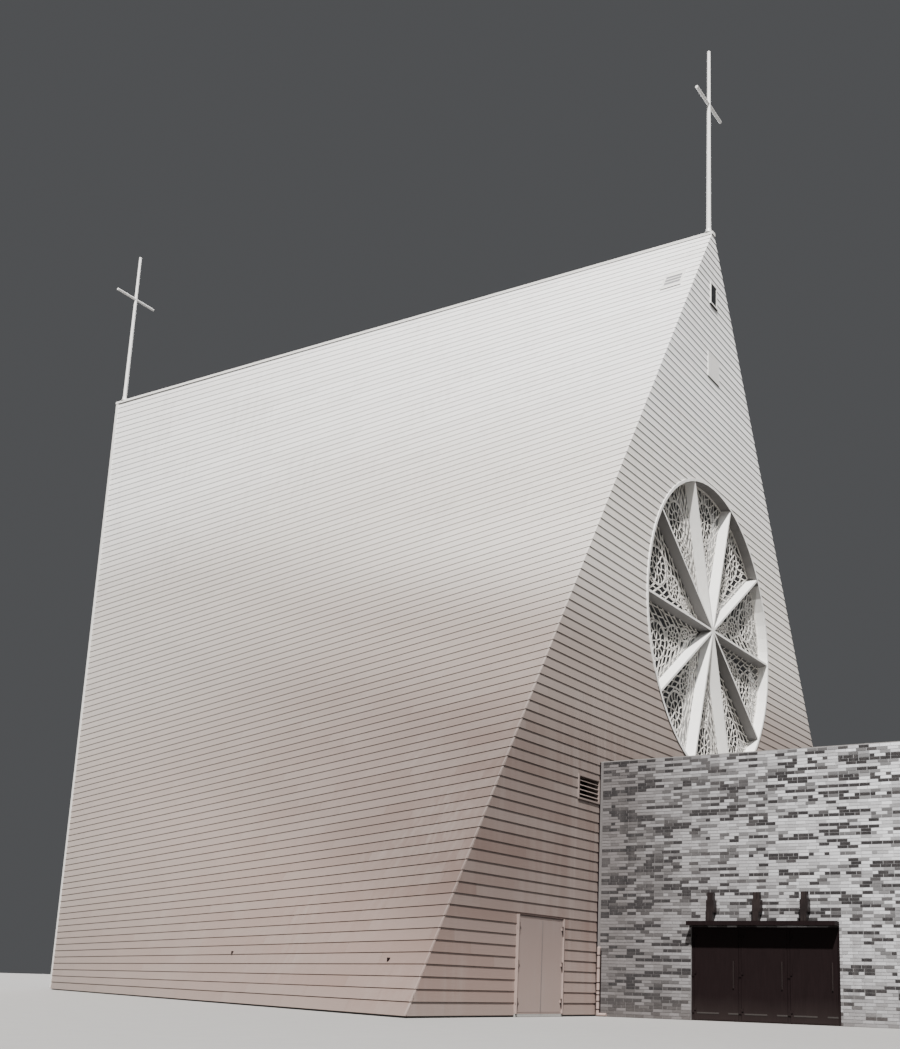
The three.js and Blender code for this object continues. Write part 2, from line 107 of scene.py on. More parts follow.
class Pile:
    def __init__(self):
        self.corners = []
        self.faces = []
        self.tones = []

    def face(self, points, tone=0.0):
        start = len(self.corners)
        self.corners.extend(tuple(p) for p in points)
        self.faces.append(tuple(range(start, start + len(points))))
        self.tones.append(tone)

    def strip(self, lower, upper, tone=0.0, closed=False):
        """Faces between two rows of points; their shared corners shade smoothly."""
        start, count = len(self.corners), len(lower)
        self.corners.extend(tuple(p) for p in lower)
        self.corners.extend(tuple(p) for p in upper)
        for i in range(count if closed else count - 1):
            j = (i + 1) % count
            self.faces.append((start + i, start + j, start + count + j, start + count + i))
            self.tones.append(tone)

    def piece(self, name, body="building", smooth=False):
        mesh = bpy.data.meshes.new(name)
        mesh.from_pydata(self.corners, [], self.faces)
        tone = mesh.attributes.new("tone", "FLOAT", "FACE")
        tone.data.foreach_set("value", np.array(self.tones, np.float32))
        mesh.polygons.foreach_set("use_smooth", [smooth] * len(self.faces))
        mesh.update()
        made = bpy.data.objects.new(name, mesh)
        bpy.context.scene.collection.objects.link(made)
        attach(made, body)
        print(name, len(self.faces), "faces")
        return made


# %% [markdown]
# ## Laying lap boards
#
# Each board overlaps the one below, so its lower edge stands off the wall and throws
# the dark line that gives the building its texture. A bump map could draw the lines,
# but from the ground they are seen edge-on and need a real step. The boards run
# level, 104 of them from foot to ridge, on all three walls.

# %% Board sizes
COURSES = 104
EXPOSURE = (RIDGE_Z - BASE_Z) / COURSES
BUTT = 0.028
HEAD = 0.009
BOARD_LENGTH = 4.3
BUTT_GAP = 0.004
FIRST_DROP = 0.028
SLIVER = 0.01
print("one board shows", round(EXPOSURE * 1000), "mm")

# %% [markdown]
# A course is not one board. Boards of uneven length meet end to end in it, and it
# stops wherever a door or a window interrupts the wall. These helpers answer both
# questions before a face is made. They work on pairs, because on a sloping edge or
# round a window a course is longer at one of its lines than at the other.

# %% Spans and boards of one course


def free_spans(low, high, holes):
    """The parts of a course, as (left, right) pairs at its lower and upper line."""
    spans, left = [], (low[0], high[0])
    for hole_low, hole_high in sorted(holes):
        if hole_low[0] > left[0] or hole_high[0] > left[1]:
            spans.append((left[0], min(hole_low[0], low[1]), left[1], min(hole_high[0], high[1])))
        left = (max(left[0], hole_low[1]), max(left[1], hole_high[1]))
    spans.append((left[0], low[1], left[1], high[1]))
    return [s for s in spans if s[1] - s[0] > SLIVER or s[3] - s[2] > SLIVER]


def joints_along(chance, start, end):
    """Where the boards of one course meet end to end, with a tone for each board."""
    at = start - chance.uniform(0, BOARD_LENGTH)
    boards = []
    while at < end:
        reach = at + BOARD_LENGTH * chance.uniform(0.8, 1.15)
        boards.append((at, reach - BUTT_GAP, chance.random()))
        at = reach
    return boards


def cut_to(near, far, start, end):
    """The part of a line that one board covers, or a point where it covers nothing."""
    near, far = max(near, start), min(far, end)
    return (near, far) if near <= far else ((near + far) / 2,) * 2


def levels_of(z0, z1, holes, disc):
    """The heights at which a course is cut, so that openings keep clean edges."""
    cuts = {z0, z1} | {z for hole in holes for z in hole[2:] if z0 < z < z1}
    if disc and abs((z0 + z1) / 2 - disc[1]) < disc[2] + EXPOSURE:
        cuts |= {z0 + EXPOSURE * part / 4 for part in (1, 2, 3)}
        cuts |= {z for z in (disc[1] - disc[2], disc[1] + disc[2]) if z0 < z < z1}
    return sorted(cuts)


def blocked_spans(za, zb, holes, disc):
    """What the openings take from a course between two levels."""
    blocked = [((h[0], h[1]), (h[0], h[1])) for h in holes if h[2] < (za + zb) / 2 < h[3]]
    if disc:
        chords = [math.sqrt(max(0, disc[2] ** 2 - (z - disc[1]) ** 2)) for z in (za, zb)]
        if max(chords) > 0:
            blocked.append(tuple((disc[0] - c, disc[0] + c) for c in chords))
    return blocked


# %% [markdown]
# One function lays all three walls: `place` says where a point of a wall lies, `ends`
# how far a course reaches, `holes` and `disc` what the boards stop for, and `step`
# how far apart the points along a board are. The strip under each lap gets a tone
# above 1, which the paint turns nearly black as painted shade under the lap.

# %% Lay a wall of boards


def lay_boards(pile, place, ends, holes, disc, step, seed, lap_shade_low, lap_shade_high):
    """Courses from the foot up; the painted shade under the laps runs from its foot value to its ridge
    value.
    """
    chance = random.Random(seed)
    for course in range(COURSES):
        z0 = BASE_Z + course * EXPOSURE - (FIRST_DROP if course == 0 else 0)
        z1 = BASE_Z + (course + 1) * EXPOSURE
        # Painted shade: a tone above 1 turns the strip under the lap nearly black
        lap_shade = lap_shade_low + (lap_shade_high - lap_shade_low) * course / COURSES
        boards = joints_along(chance, ends(z0, BUTT)[0] - 1, ends(z0, BUTT)[1] + 1)
        levels = levels_of(z0, z1, holes, disc)
        for za, zb in zip(levels, levels[1:]):
            off_a, off_b = (BUTT + (HEAD - BUTT) * (z - z0) / EXPOSURE for z in (za, zb))
            blocked = blocked_spans(za, zb, holes, disc)
            for a0, b0, a1, b1 in free_spans(ends(za, off_a), ends(zb, off_b), blocked):
                for start, end, tone in boards:
                    if end < min(a0, a1) or start > max(b0, b1):
                        continue
                    low, high = cut_to(a0, b0, start, end), cut_to(a1, b1, start, end)
                    length = max(low[1], high[1]) - min(low[0], high[0])
                    count = max(2, 1 + math.ceil(length / step))
                    share = [i / (count - 1) for i in range(count)]
                    along = [low[0] + (low[1] - low[0]) * t for t in share]
                    lower = [place(u, za, off_a) for u in along]
                    upper = [place(high[0] + (high[1] - high[0]) * t, zb, off_b) for t in share]
                    pile.strip(lower, upper, tone)
                    if za == z0:
                        pile.strip([place(u, za, HEAD / 2) for u in along], lower, lap_shade)


# %% [markdown]
# ## Boards on the gable
#
# The gable's boards stop for the doors, the louvres, the small windows, the round
# window and the brick hall. At the two sloping edges they run on to meet the side
# walls' boards in a mitre, so no corner board is needed: only a slim metal corner
# sits over each pair of board ends.

# %% Openings of the gable
TUCK = 0.02
PANE_EDGE = 0.025
RIM_EDGE = 0.045


def gable_point(x, z, off):
    return x, GABLE_Y - off, z


def gable_ends(z, off):
    reach = half_width(GABLE_Y, z) + off * lean(GABLE_Y, z)
    return -reach, reach


def hole_of(node):
    """The place of a node in the gable, a little smaller, so the boards run under it."""
    low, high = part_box(node)
    return low.x + TUCK, high.x - TUCK, low.z - TUCK, high.z - TUCK


hall_low, hall_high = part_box("hall_coping")
gable_holes = [hole_of(name) for name in (
    "side_door_frame", "right_side_doors", "left_louvre", "right_louvre", "gable_panel",
)]
gable_holes.append((hall_low.x - 0.01, hall_high.x + 0.01, 0, hall_high.z - 0.01))
pane_low, pane_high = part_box("apex_window_glass")
gable_holes.append((pane_low.x - PANE_EDGE, pane_high.x + PANE_EDGE,
                    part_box("apex_window_frame")[0].z + TUCK, pane_high.z + PANE_EDGE))
lining_low, lining_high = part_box("rose_lining")
ROSE = ((lining_low.x + lining_high.x) / 2, (lining_low.z + lining_high.z) / 2,
        (lining_high.x - lining_low.x) / 2 - RIM_EDGE)
print(len(gable_holes), "holes and a round one of", round(2 * ROSE[2], 2), "m")

# %% Gable boards
pile = Pile()
# The last two numbers set the painted shade under the laps at the foot and at the ridge
lay_boards(pile, gable_point, gable_ends, gable_holes, ROSE, 6.0, 11, 2.0, 1.78)
pile.piece("gable_boards", smooth=True)

# %% [markdown]
# ## Boards on the twisted side walls
#
# A level line on a side wall is straight from the gable's rake to the upright rear
# edge, so every board is straight along its length and only twists a little. Short
# steps along the board with shared corners let that twist shade smoothly. The right
# wall is laid like the left one, with its own joints.

# %% Side boards


def left_point(u, z, off):
    y = -u
    return -(half_width(y, z) + off * lean(y, z)), y, z


def right_point(u, z, off):
    return half_width(u, z) + off * lean(u, z), u, z


def left_ends(z, off):
    return -REAR_Y, -(GABLE_Y - off)


def right_ends(z, off):
    return GABLE_Y - off, REAR_Y


vent_low, vent_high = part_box("left_ridge_vent")
for side, place, ends, hole, seed in (
    ("left", left_point, left_ends, (-vent_high.y + TUCK, -vent_low.y - TUCK), 21),
    ("right", right_point, right_ends, (vent_low.y + TUCK, vent_high.y - TUCK), 22),
):
    pile = Pile()
    holes = [(*hole, vent_low.z + TUCK, vent_high.z - TUCK)]
    # On the side walls the painted shade under the laps fades towards the ridge
    lay_boards(pile, place, ends, holes, None, 2.5, seed, 1.6, 0.65)
    pile.piece(side + "_side_boards", smooth=True)

# %% [markdown]
# ## Metal corners
#
# At each board a folded metal corner, painted like the boards, covers the mitre. In
# the picture it shows as a slightly paler strip on the side wall. Two narrow faces and
# a small underside for each course are enough; the underside is painted nearly black
# as painted shade.

# %% Board corners
CORNER_LEG = 0.055
CORNER_TURNS = {-1: 0.012, 1: 0.04}
CORNER_THICK = 0.002
FRESH_PAINT, CORNER_SHADE = -0.25, 1.9

pile = Pile()
for side in (-1, 1):
    for course in range(COURSES):
        z0 = BASE_Z + course * EXPOSURE
        rows = []
        for z, off in (
            (z0 - 0.004, BUTT + CORNER_THICK),
            (z0 + EXPOSURE - 0.006, HEAD + CORNER_THICK + 0.001),
        ):
            x = half_width(GABLE_Y, z) + off * lean(GABLE_Y, z)
            along = half_width(GABLE_Y + CORNER_LEG, z) + off * lean(GABLE_Y + CORNER_LEG, z)
            rows.append([
                (side * along, GABLE_Y + CORNER_LEG, z),
                (side * x, GABLE_Y - off, z),
                (side * (x - CORNER_TURNS[side]), GABLE_Y - off, z),
            ])
        low, high = rows
        inner = (side * (half_width(GABLE_Y, z0) - CORNER_TURNS[side]), GABLE_Y, low[0][2])
        for a, b in ((0, 1), (1, 2)):
            points = [low[a], low[b], high[b], high[a]]
            pile.face(points if side < 0 else points[::-1], FRESH_PAINT)
        foot = [low[0], inner, low[2], low[1]]
        # The underside of each corner is painted nearly black as painted shade
        pile.face(foot if side < 0 else foot[::-1], CORNER_SHADE)
pile.piece("board_corners")

# %% [markdown]
# ## Ridge cap and rear edge
#
# The real ridge is closed by a folded sheet with an overlap every few metres, and
# the rear edge by a bent corner sheet that wraps both walls. Both are profiles drawn
# across the edge and carried along it. They take the place of the plain solids.

# %% Ridge cap
CAP_HALF = 0.12
CAP_LAPS = 12
LAP_HALF, LAP_THICK = 0.03, 0.003


def loft(pile, rings, tone=0.0):
    """Skin between closed rings of points, with flat ends."""
    for a, b in zip(rings, rings[1:]):
        count = len(a)
        for i in range(count):
            j = (i + 1) % count
            pile.face([a[i], a[j], b[j], b[i]], tone)
    pile.face(rings[0][::-1], tone)
    pile.face(rings[-1], tone)


def cap_profile(grow, y):
    """The folded sheet seen along the ridge, grown a little where two sheets overlap."""
    half, rim, top = CAP_HALF + grow, RIDGE_Z - 0.03 - grow, CAP_Z + grow
    points = [
        (-half - 0.012, rim), (-half, rim + 0.02), (-half, top - 0.025), (-half + 0.03, top),
        (half - 0.03, top), (half, top - 0.025), (half, rim + 0.02), (half + 0.012, rim),
        (half - 0.004, rim), (half - 0.004, rim + 0.004),
        (-half + 0.004, rim + 0.004), (-half + 0.004, rim),
    ]
    return [(x, y, z) for x, z in points]


pile = Pile()
front, back = GABLE_Y - 0.05, REAR_Y + 0.04
loft(pile, [cap_profile(0, front), cap_profile(0, back)])
for i in range(1, CAP_LAPS + 1):
    seam = front + (back - front) * i / (CAP_LAPS + 1)
    loft(pile, [cap_profile(LAP_THICK, seam - LAP_HALF), cap_profile(LAP_THICK, seam + LAP_HALF)], 1.0)
ridge_sheet = pile.piece("ridge_sheet")
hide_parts("ridge_cap")

# %% Rear corner sheet
WRAP = 0.13
SHEET_OFF = 0.046
SHEET_RINGS = 14

rings = []
for i in range(SHEET_RINGS):
    z = BASE_Z + (RIDGE_Z - 0.03 - BASE_Z) * i / (SHEET_RINGS - 1)
    half = [
        (half_width(REAR_Y - WRAP, z) + SHEET_OFF, REAR_Y - WRAP), (RIDGE_HALF + SHEET_OFF, REAR_Y),
        (RIDGE_HALF + 0.03, REAR_Y + 0.032), (RIDGE_HALF, REAR_Y + 0.04),
    ]
    rings.append([(-x, y, z) for x, y in half] + [(x, y, z) for x, y in half[::-1]])
pile = Pile()
loft(pile, rings)
rear_sheet = pile.piece("rear_corner_sheet")
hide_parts("rear_corner_trim")

# %% [markdown]
# ## Brickwork
#
# The hall is laid in long courses of stretchers with a course of alternate headers
# and stretchers every sixth one. Light bricks are mixed with dark ones, which sit in
# short runs. A brick texture would do for a far view, but real bricks standing a few
# millimetres off the mortar catch the light at their edges. Each brick is a box
# without its back, and its tone says how dark it was fired.

# %% Brick sizes and tones
BRICK_COURSE = 0.0765
BRICK_MODULE = 0.2533
JOINT = 0.012
BRICK_PROUD = 0.006
BRICK_BACK = -0.004
SMALLEST_BRICK = 0.015
CORNER_BRICK = BRICK_MODULE / 2 - 0.006
HALL_TOP = hall_low.z
HALL_X = -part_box("hall_front_wall")[0].x
HALL_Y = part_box("hall_front_wall")[0].y


def fired_tone(chance, before, patch):
    """Dark bricks follow each other: a dark one makes the next more likely dark."""
    if chance.random() < (0.5 if before > 0.7 else 0.1 + 0.08 * patch):
        return chance.uniform(0.7, 1.0)
    if chance.random() < (0.5 if 0.3 < before < 0.7 else 0.13 + 0.36 * patch):
        return chance.uniform(0.34, 0.64)
    return chance.uniform(0.0, 0.28)


print(round(HALL_TOP / BRICK_COURSE), "courses of brick")

# %% [markdown]
# At a corner the walls share their bricks: on every other course the end brick
# belongs to this wall, and on the courses between it shows only its head, which the
# other wall lays. `EVEN`, `ODD` and `NEVER` say on which courses a wall runs through.

# %% Bricks of one wall
EVEN, ODD, NEVER = 0, 1, 9


def lay_brick(pile, point, a, b, z0, z1, tone):
    """A brick's face and its four edges; its back is sunk in the mortar."""
    front, rear = ([point(a, off, z0), point(b, off, z0), point(b, off, z1), point(a, off, z1)]
                   for off in (BRICK_PROUD, BRICK_BACK))
    pile.face(front, tone)
    for i in range(4):
        j = (i + 1) % 4
        pile.face([front[j], front[i], rear[i], rear[j]], tone)


def wall_bricks(pile, point, length, openings, first_runs, last_runs, seed):
    """Courses of one wall, from u = 0 to length; point(u, off, z) places a corner."""
    chance = random.Random(seed)
    wave = [chance.uniform(0, 6.3) for _ in range(4)]
    for course in range(round(HALL_TOP / BRICK_COURSE)):
        z0 = course * BRICK_COURSE + JOINT / 2
        z1 = min(z0 + BRICK_COURSE - JOINT, HALL_TOP)
        header_course, odd = course % 6 == 3, course % 2
        start = -BRICK_PROUD if first_runs == odd else CORNER_BRICK
        finish = length + BRICK_PROUD if last_runs == odd else length - CORNER_BRICK
        u, before, index = start, 0.0, 0
        while u < finish - 0.03:
            if header_course:
                size = BRICK_MODULE / 2 if index % 2 else BRICK_MODULE
            else:
                size = BRICK_MODULE * (0.75 if index == 0 and odd else 1)
            end = min(u + size, finish + JOINT)
            middle = (u + end) / 2
            patch = math.sin(middle * 1.1 + wave[0]) * math.sin(z0 * 1.7 + wave[1] + middle * 0.3)
            patch = max(0.0, patch) + 0.6 * z0 / HALL_TOP * (1 - middle / length)
            before = fired_tone(chance, before, patch)
            if header_course and index % 2 == 1:
                group = math.sin(middle * 0.9 + wave[2] + course) > 0.1
                before = chance.uniform(0.55, 1.0) if group else before
            pieces = [(u, end - JOINT)]
            for u0, u1, low, high in openings:
                if low < (z0 + z1) / 2 < high:
                    pieces = [part for a, b in pieces for part in ((a, min(b, u0)), (max(a, u1), b))
                              if part[1] - part[0] > SMALLEST_BRICK]
            for a, b in pieces:
                lay_brick(pile, point, a, b, z0, z1, before)
            u = end
            index += 1


# %% The hall's three walls
entrance_low, entrance_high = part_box("entrance_frame")
door_hole = (GABLE_Y - entrance_high.y, GABLE_Y - entrance_low.y, 0, entrance_high.z)
hall_depth = GABLE_Y - HALL_Y
# Seen from outside, u runs to the right along each wall
for side, point, length, openings, first, last, seed in (
    ("left", lambda u, off, z: (-HALL_X - off, GABLE_Y - u, z), hall_depth, [door_hole], NEVER, ODD, 31),
    ("front", lambda u, off, z: (-HALL_X + u, HALL_Y - off, z), 2 * HALL_X, [], EVEN, EVEN, 32),
    ("right", lambda u, off, z: (HALL_X + off, HALL_Y + u, z), hall_depth, [], ODD, NEVER, 33),
):
    pile = Pile()
    wall_bricks(pile, point, length, openings, first, last, seed)
    pile.piece("hall_" + side + "_bricks")

# %% [markdown]
# ## Lacework of the round window
#
# Between the ten rays the window is filled with a pale pierced screen in front of
# dark glass. Here it is a plain leaf pattern: a middle stem in each bay with three
# pods on it, side veins that curve out to the rays, and small cross links that close
# the cells. All of them are flat bars swept along their lines. They stay thin, because
# the window is seen at a slant and thick bars would hide the glass between them.

# %% Bars swept along a line
GLASS_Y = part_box("rose_glass")[0].y
GLASS_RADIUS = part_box("rose_glass")[1].x
RAYS = 10
RAY_HALF = 0.09
SCREEN_THICK = 0.016
SCREEN_RADIUS = 4.83


def bar(pile, points, width):
    """A flat bar on the glass along points (x, z) of the window's plane."""
    line = np.array(points, float)
    ahead = np.gradient(line, axis=0)
    ahead /= np.maximum(np.linalg.norm(ahead, axis=1, keepdims=True), 1e-9)
    across = np.stack([-ahead[:, 1], ahead[:, 0]], 1)
    rows = []
    front = GLASS_Y - SCREEN_THICK
    for share, y in ((1, GLASS_Y), (1, front), (-1, front), (-1, GLASS_Y)):
        at = line + across * (share * width / 2)
        rows.append([(ROSE[0] + x, y, ROSE[1] + z) for x, z in at])
    for lower, upper in zip(rows, rows[1:]):
        pile.strip(upper, lower)


def clipped(points, inside):
    """The runs of a line that lie inside, each cut off just at the edge."""
    runs, run = [], []
    for a, b in zip(points, points[1:]):
        if inside(a) and not run:
            run = [a]
        if inside(a) != inside(b):
            near, far = (a, b) if inside(a) else (b, a)
            for _ in range(6):
                middle = ((near[0] + far[0]) / 2, (near[1] + far[1]) / 2)
                near, far = (middle, far) if inside(middle) else (near, middle)
            if inside(a):
                runs.append(run + [near])
                run = []
            else:
                run = [near, b]
        elif inside(a):
            run.append(b)
    if len(run) > 1:
        runs.append(run)
    return runs


# %% Veins of one bay
PODS = ((1.62, 0.32, 0.20, 6), (2.55, 0.45, 0.36, 10), (3.80, 0.64, 0.58, 14))


def bay_reach(s):
    """Half the clear width of a bay, at s along its middle line."""
    return s * math.tan(math.pi / RAYS) - RAY_HALF / math.cos(math.pi / RAYS)


def open_field(point):
    s, t = point
    if s * s + t * t > (GLASS_RADIUS - 0.05) ** 2:
        return False
    return all(((s - middle) / long) ** 2 + (t / wide) ** 2 > 1 for middle, long, wide, _ in PODS)


def between(row, q):
    step = min(len(row) - 2, int(q))
    share = q - step
    return tuple(row[step][i] * (1 - share) + row[step + 1][i] * share for i in (0, 1))


def bay_lines(chance):
    """The bars of one bay, as (points, width) with s along the bay and t across it."""
    stem = [(s, 0.03 * math.sin(s * 1.9)) for s in np.linspace(0.7, SCREEN_RADIUS, 24)]
    lines = [(stem, 0.06)]
    for side in (-1, 1):
        rows, s = [], 0.55 + 0.11 * (side > 0)
        while s < 4.85:
            wide = max(0.02, bay_reach(s))
            row = []
            for q in np.linspace(0, 1, 8):
                at = s + (0.15 + 0.75 * wide) * q ** 1.6 + 0.02 * math.sin(7 * q + s * 9)
                row.append((at, side * q * max(0.0, bay_reach(at))))
            rows.append(row)
            s += chance.uniform(0.25, 0.36)
        lines += [(row, chance.choice((0.026, 0.034, 0.05))) for row in rows]
        for near, far in zip(rows, rows[1:]):
            count = max(1, round(abs(near[-1][1]) / 0.24))
            for k in range(1, count + 1):
                q = (k - chance.uniform(0.2, 0.65)) / count * 7
                foot, head = between(near, q), between(far, q)
                bow = chance.uniform(-0.05, 0.05)
                middle = ((foot[0] + head[0]) / 2, (foot[1] + head[1]) / 2 + bow)
                lines.append(([foot, middle, head], chance.uniform(0.02, 0.032)))
    kept = [(run, width) for points, width in lines for run in clipped(points, open_field)]
    return kept + [line for pod in PODS for line in pod_lines(*pod)]


# %% Pods, and the screen of the round window


def pod_lines(middle, long, wide, spokes):
    """A pod's rim, a ring half its size, the spokes between them and veins inside."""
    def rim(a, size):
        return middle + long * size * math.cos(a), wide * size * math.sin(a)

    lines = [([rim(a, 1) for a in np.linspace(0, 2 * math.pi, 31)], 0.065),
             ([rim(a, 0.5) for a in np.linspace(0, 2 * math.pi, 21)], 0.03)]
    for k in range(spokes):
        a = (k + 0.5) / spokes * 2 * math.pi
        lines.append(([rim(a, 0.5), rim(a + 0.12, 0.75), rim(a, 1)], 0.026))
    lines.append(([rim(math.pi, 0.5), (middle, 0.02), rim(0, 0.5)], 0.026))
    return lines + [([rim(a, 0.5), (middle, 0.0), rim(-a, 0.5)], 0.022) for a in (1.1, 2.0)]


pile = Pile()
chance = random.Random(41)
for bay in range(RAYS):
    turn = (bay + 0.5) * 2 * math.pi / RAYS
    c, s = math.cos(turn), math.sin(turn)
    for points, width in bay_lines(chance):
        bar(pile, [(p * c - q * s, p * s + q * c) for p, q in points], width)
circle = np.linspace(0, 2 * math.pi, 97)
bar(pile, [(SCREEN_RADIUS * math.cos(a), SCREEN_RADIUS * math.sin(a)) for a in circle], 0.07)
pile.piece("rose_screen")

# %% [markdown]
# ## Small fittings
#
# Handles, kick strips, casings, hinges, pipe straps and coping joints are small, but
# they tell the eye how big the building is. Plain boxes would do from afar, yet their
# sharp edges never catch the light, so each block gets a narrow bevel. A bevel
# modifier could cut it, but a block is so simple that its faces are written directly.

# %% Blocks with bevelled edges


def bevelled_block(pile, low, high, edge):
    """A block whose twelve edges are cut off by a small bevel."""
    low, high = Vector(low), Vector(high)
    middle, reach = (low + high) / 2, (high - low) / 2

    def corner(signs, axis):
        """A corner of the face across axis: drawn in by the bevel in its other two ways."""
        drawn = [reach[i] - (0 if i == axis else edge) for i in range(3)]
        return Vector([middle[i] + signs[i] * drawn[i] for i in range(3)])

    def add(points):
        normal = (points[1] - points[0]).cross(points[2] - points[1])
        outward = sum(points, Vector()) / len(points) - middle
        pile.face(points if normal.dot(outward) > 0 else points[::-1])

    def signs_at(axis, sign, others):
        signs = list(others)
        signs.insert(axis, sign)
        return signs

    for axis in range(3):
        p, q = [i for i in range(3) if i != axis]
        for sign in (-1, 1):
            ring = ((-1, -1), (1, -1), (1, 1), (-1, 1))
            add([corner(signs_at(axis, sign, pair), axis) for pair in ring])
        for pair in itertools.product((-1, 1), repeat=2):
            near, far = (signs_at(axis, sign, pair) for sign in (-1, 1))
            add([corner(near, p), corner(far, p), corner(far, q), corner(near, q)])
    for signs in itertools.product((-1, 1), repeat=3):
        add([corner(signs, axis) for axis in range(3)])


def fitting(name, blocks, edge, body="building"):
    """One piece of bevelled blocks, each given by its low and high corner."""
    pile = Pile()
    for low, high in blocks:
        bevelled_block(pile, low, high, edge)
    pile.piece(name, body)


def both_sides(x0, x1):
    """A span and its mirror image on the other side of the building."""
    return (x0, x1), (-x1, -x0)


# %% [markdown]
# The coping is bent from sheets, and a cover sits over each joint between two of them.
# The covers stand 3 mm proud and reach 10 mm below the coping's edge.

# %% Joint covers on the coping
COVER_HALF, COVER_PROUD, COVER_DROP = 0.05, 0.003, 0.01
PARAPET = 0.34
SIDE_COVERS_Y, FRONT_COVERS_X = (-12.4, -15.0, -17.4), (-5.2, -2.6, 0.0, 2.6, 5.2)
coping_low, coping_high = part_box("hall_coping")
cover_low, cover_high = coping_low.z - COVER_DROP, coping_high.z + COVER_PROUD

blocks = [
    ((x0, y - COVER_HALF, cover_low), (x1, y + COVER_HALF, cover_high))
    for y in SIDE_COVERS_Y
    for x0, x1 in both_sides(HALL_X - PARAPET - COVER_PROUD, coping_high.x + COVER_PROUD)
]
blocks += [
    ((x - COVER_HALF, coping_low.y - COVER_PROUD, cover_low),
     (x + COVER_HALF, HALL_Y + PARAPET + COVER_PROUD, cover_high))
    for x in FRONT_COVERS_X
]
fitting("coping_joints", blocks, 0.002)

# %% Collars at the foot of the masts


def round_profile(pile, centre, profile, sides=24):
    """Turn a profile of (radius, height) pairs about an upright line."""
    cx, cy = centre
    ring = [(math.cos(a), math.sin(a)) for a in np.linspace(0, 2 * math.pi, sides, endpoint=False)]
    for (r0, z0), (r1, z1) in zip(profile, profile[1:]):
        pile.strip([(cx + r0 * c, cy + r0 * s, z0) for c, s in ring],
                   [(cx + r1 * c, cy + r1 * s, z1) for c, s in ring], closed=True)


COLLAR = ((0.15, 0), (0.15, 0.012), (0.105, 0.03), (0.092, 0.16), (0.083, 0.165))
MAST_TIP = ((0.06, -0.03), (0.066, -0.03), (0.066, 0.004), (0.03, 0.02), (0.001, 0.024))

pile = Pile()
for name in ("front_cross_mast", "rear_cross_mast"):
    low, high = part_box(name)
    centre = ((low.x + high.x) / 2, (low.y + high.y) / 2)
    for profile, foot in ((COLLAR, CAP_Z), (MAST_TIP, high.z)):
        round_profile(pile, centre, [(radius, foot + up) for radius, up in profile])
pile.piece("mast_collars")

# %% [markdown]
# ## Fittings of the doors
#
# A fitting on a door leaf rides on that leaf, so it swings with it: the kick strips,
# the pulls and the strip over the side doors' meeting edge. Casings, hinge barrels and
# thresholds belong to the frame and ride on the building.

# %% Kick strips and handles of the entrance doors
DOOR_NUMBERS = (1, 2, 3)
LEAF_FACE = -HALL_X + 0.04
SUNK = 0.002
STRIP_Z = (0.165, 0.2)
PULL_IN = 0.12
GRIP_Z, FEET_Z = (0.78, 1.42), (0.84, 1.34)

for number in DOOR_NUMBERS:
    low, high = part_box("entrance_door_%d" % number)
    leaf = "entrance_leaf_%d" % number
    strips = [
        ((LEAF_FACE - 0.006, high.y - far, STRIP_Z[0]), (LEAF_FACE + SUNK, high.y - near, STRIP_Z[1]))
        for near, far in ((0.09, 0.66), (0.90, 1.16))
    ]
    fitting("entrance_kick_strip_%d" % number, strips, 0.002, leaf)
    y = low.y + PULL_IN
    grip_x = (LEAF_FACE - 0.034, LEAF_FACE - 0.024)
    pile = Pile()
    bevelled_block(pile, (grip_x[0], y - 0.014, GRIP_Z[0]), (grip_x[1], y + 0.014, GRIP_Z[1]), 0.003)
    for z in FEET_Z:
        foot = (LEAF_FACE - 0.03, y - 0.01, z)
        bevelled_block(pile, foot, (LEAF_FACE + SUNK, y + 0.01, z + 0.02), 0.002)
    pile.piece("entrance_pull_%d" % number, leaf)

# %% Strip on the side doors' meeting edge
low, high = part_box("side_door_right_leaf")
face_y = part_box("side_door_left_leaf")[0].y
meeting = [((low.x, face_y - 0.003, low.z + 0.01), (low.x + 0.022, face_y + 0.001, high.z - 0.01))]
# A seal strip; its dark colour is painted shade of the gap between the leaves
fitting("side_door_meeting_strip", meeting, 0.001, "side_right_leaf")

# %% Casings, hinge barrels and threshold of the side doors


def stub(pile, centre, radius, z0, z1):
    """A short upright cylinder with flat ends."""
    round_profile(pile, centre, [(0.0005, z0), (radius, z0), (radius, z1), (0.0005, z1)], 12)


low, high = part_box("side_door_frame")
FRAME_FACE = GABLE_Y - 0.045
CASING_IN, CASING_OUT = 0.004, 0.038
fitting("side_door_casings", [
    ((a, GABLE_Y - 0.086, low.z), (b, FRAME_FACE, high.z))
    for x0, x1 in ((low.x + CASING_IN, low.x + CASING_OUT), (high.x - CASING_OUT, high.x - CASING_IN))
    for a, b in both_sides(x0, x1)
], 0.003)
# A dark strip at each door head is a painted shadow, as if cast by the lap above
fitting("side_door_head_shadows", [
    ((a, GABLE_Y - 0.062, high.z - 0.016), (b, FRAME_FACE, high.z - 0.002))
    for a, b in both_sides(low.x + 0.03, high.x - 0.03)
], 0.001)

BARREL_RADIUS, BARREL_HALF = 0.015, 0.1
pile = Pile()
for mirror in (1, -1):
    for axis_x in (low.x + 0.064, high.x - 0.064):
        for share in (0.1, 0.5, 0.9):
            z = low.z + 0.038 + (high.z - low.z - 0.106) * share
            centre = (mirror * axis_x, GABLE_Y - 0.066)
            stub(pile, centre, BARREL_RADIUS, z - BARREL_HALF, z + BARREL_HALF)
pile.piece("side_door_hinge_barrels")

fitting("side_door_thresholds", [
    ((a, GABLE_Y - 0.048, 0.001), (b, GABLE_Y + 0.058, low.z - 0.002))
    for a, b in both_sides(low.x + 0.002, high.x - 0.002)
], 0.006)
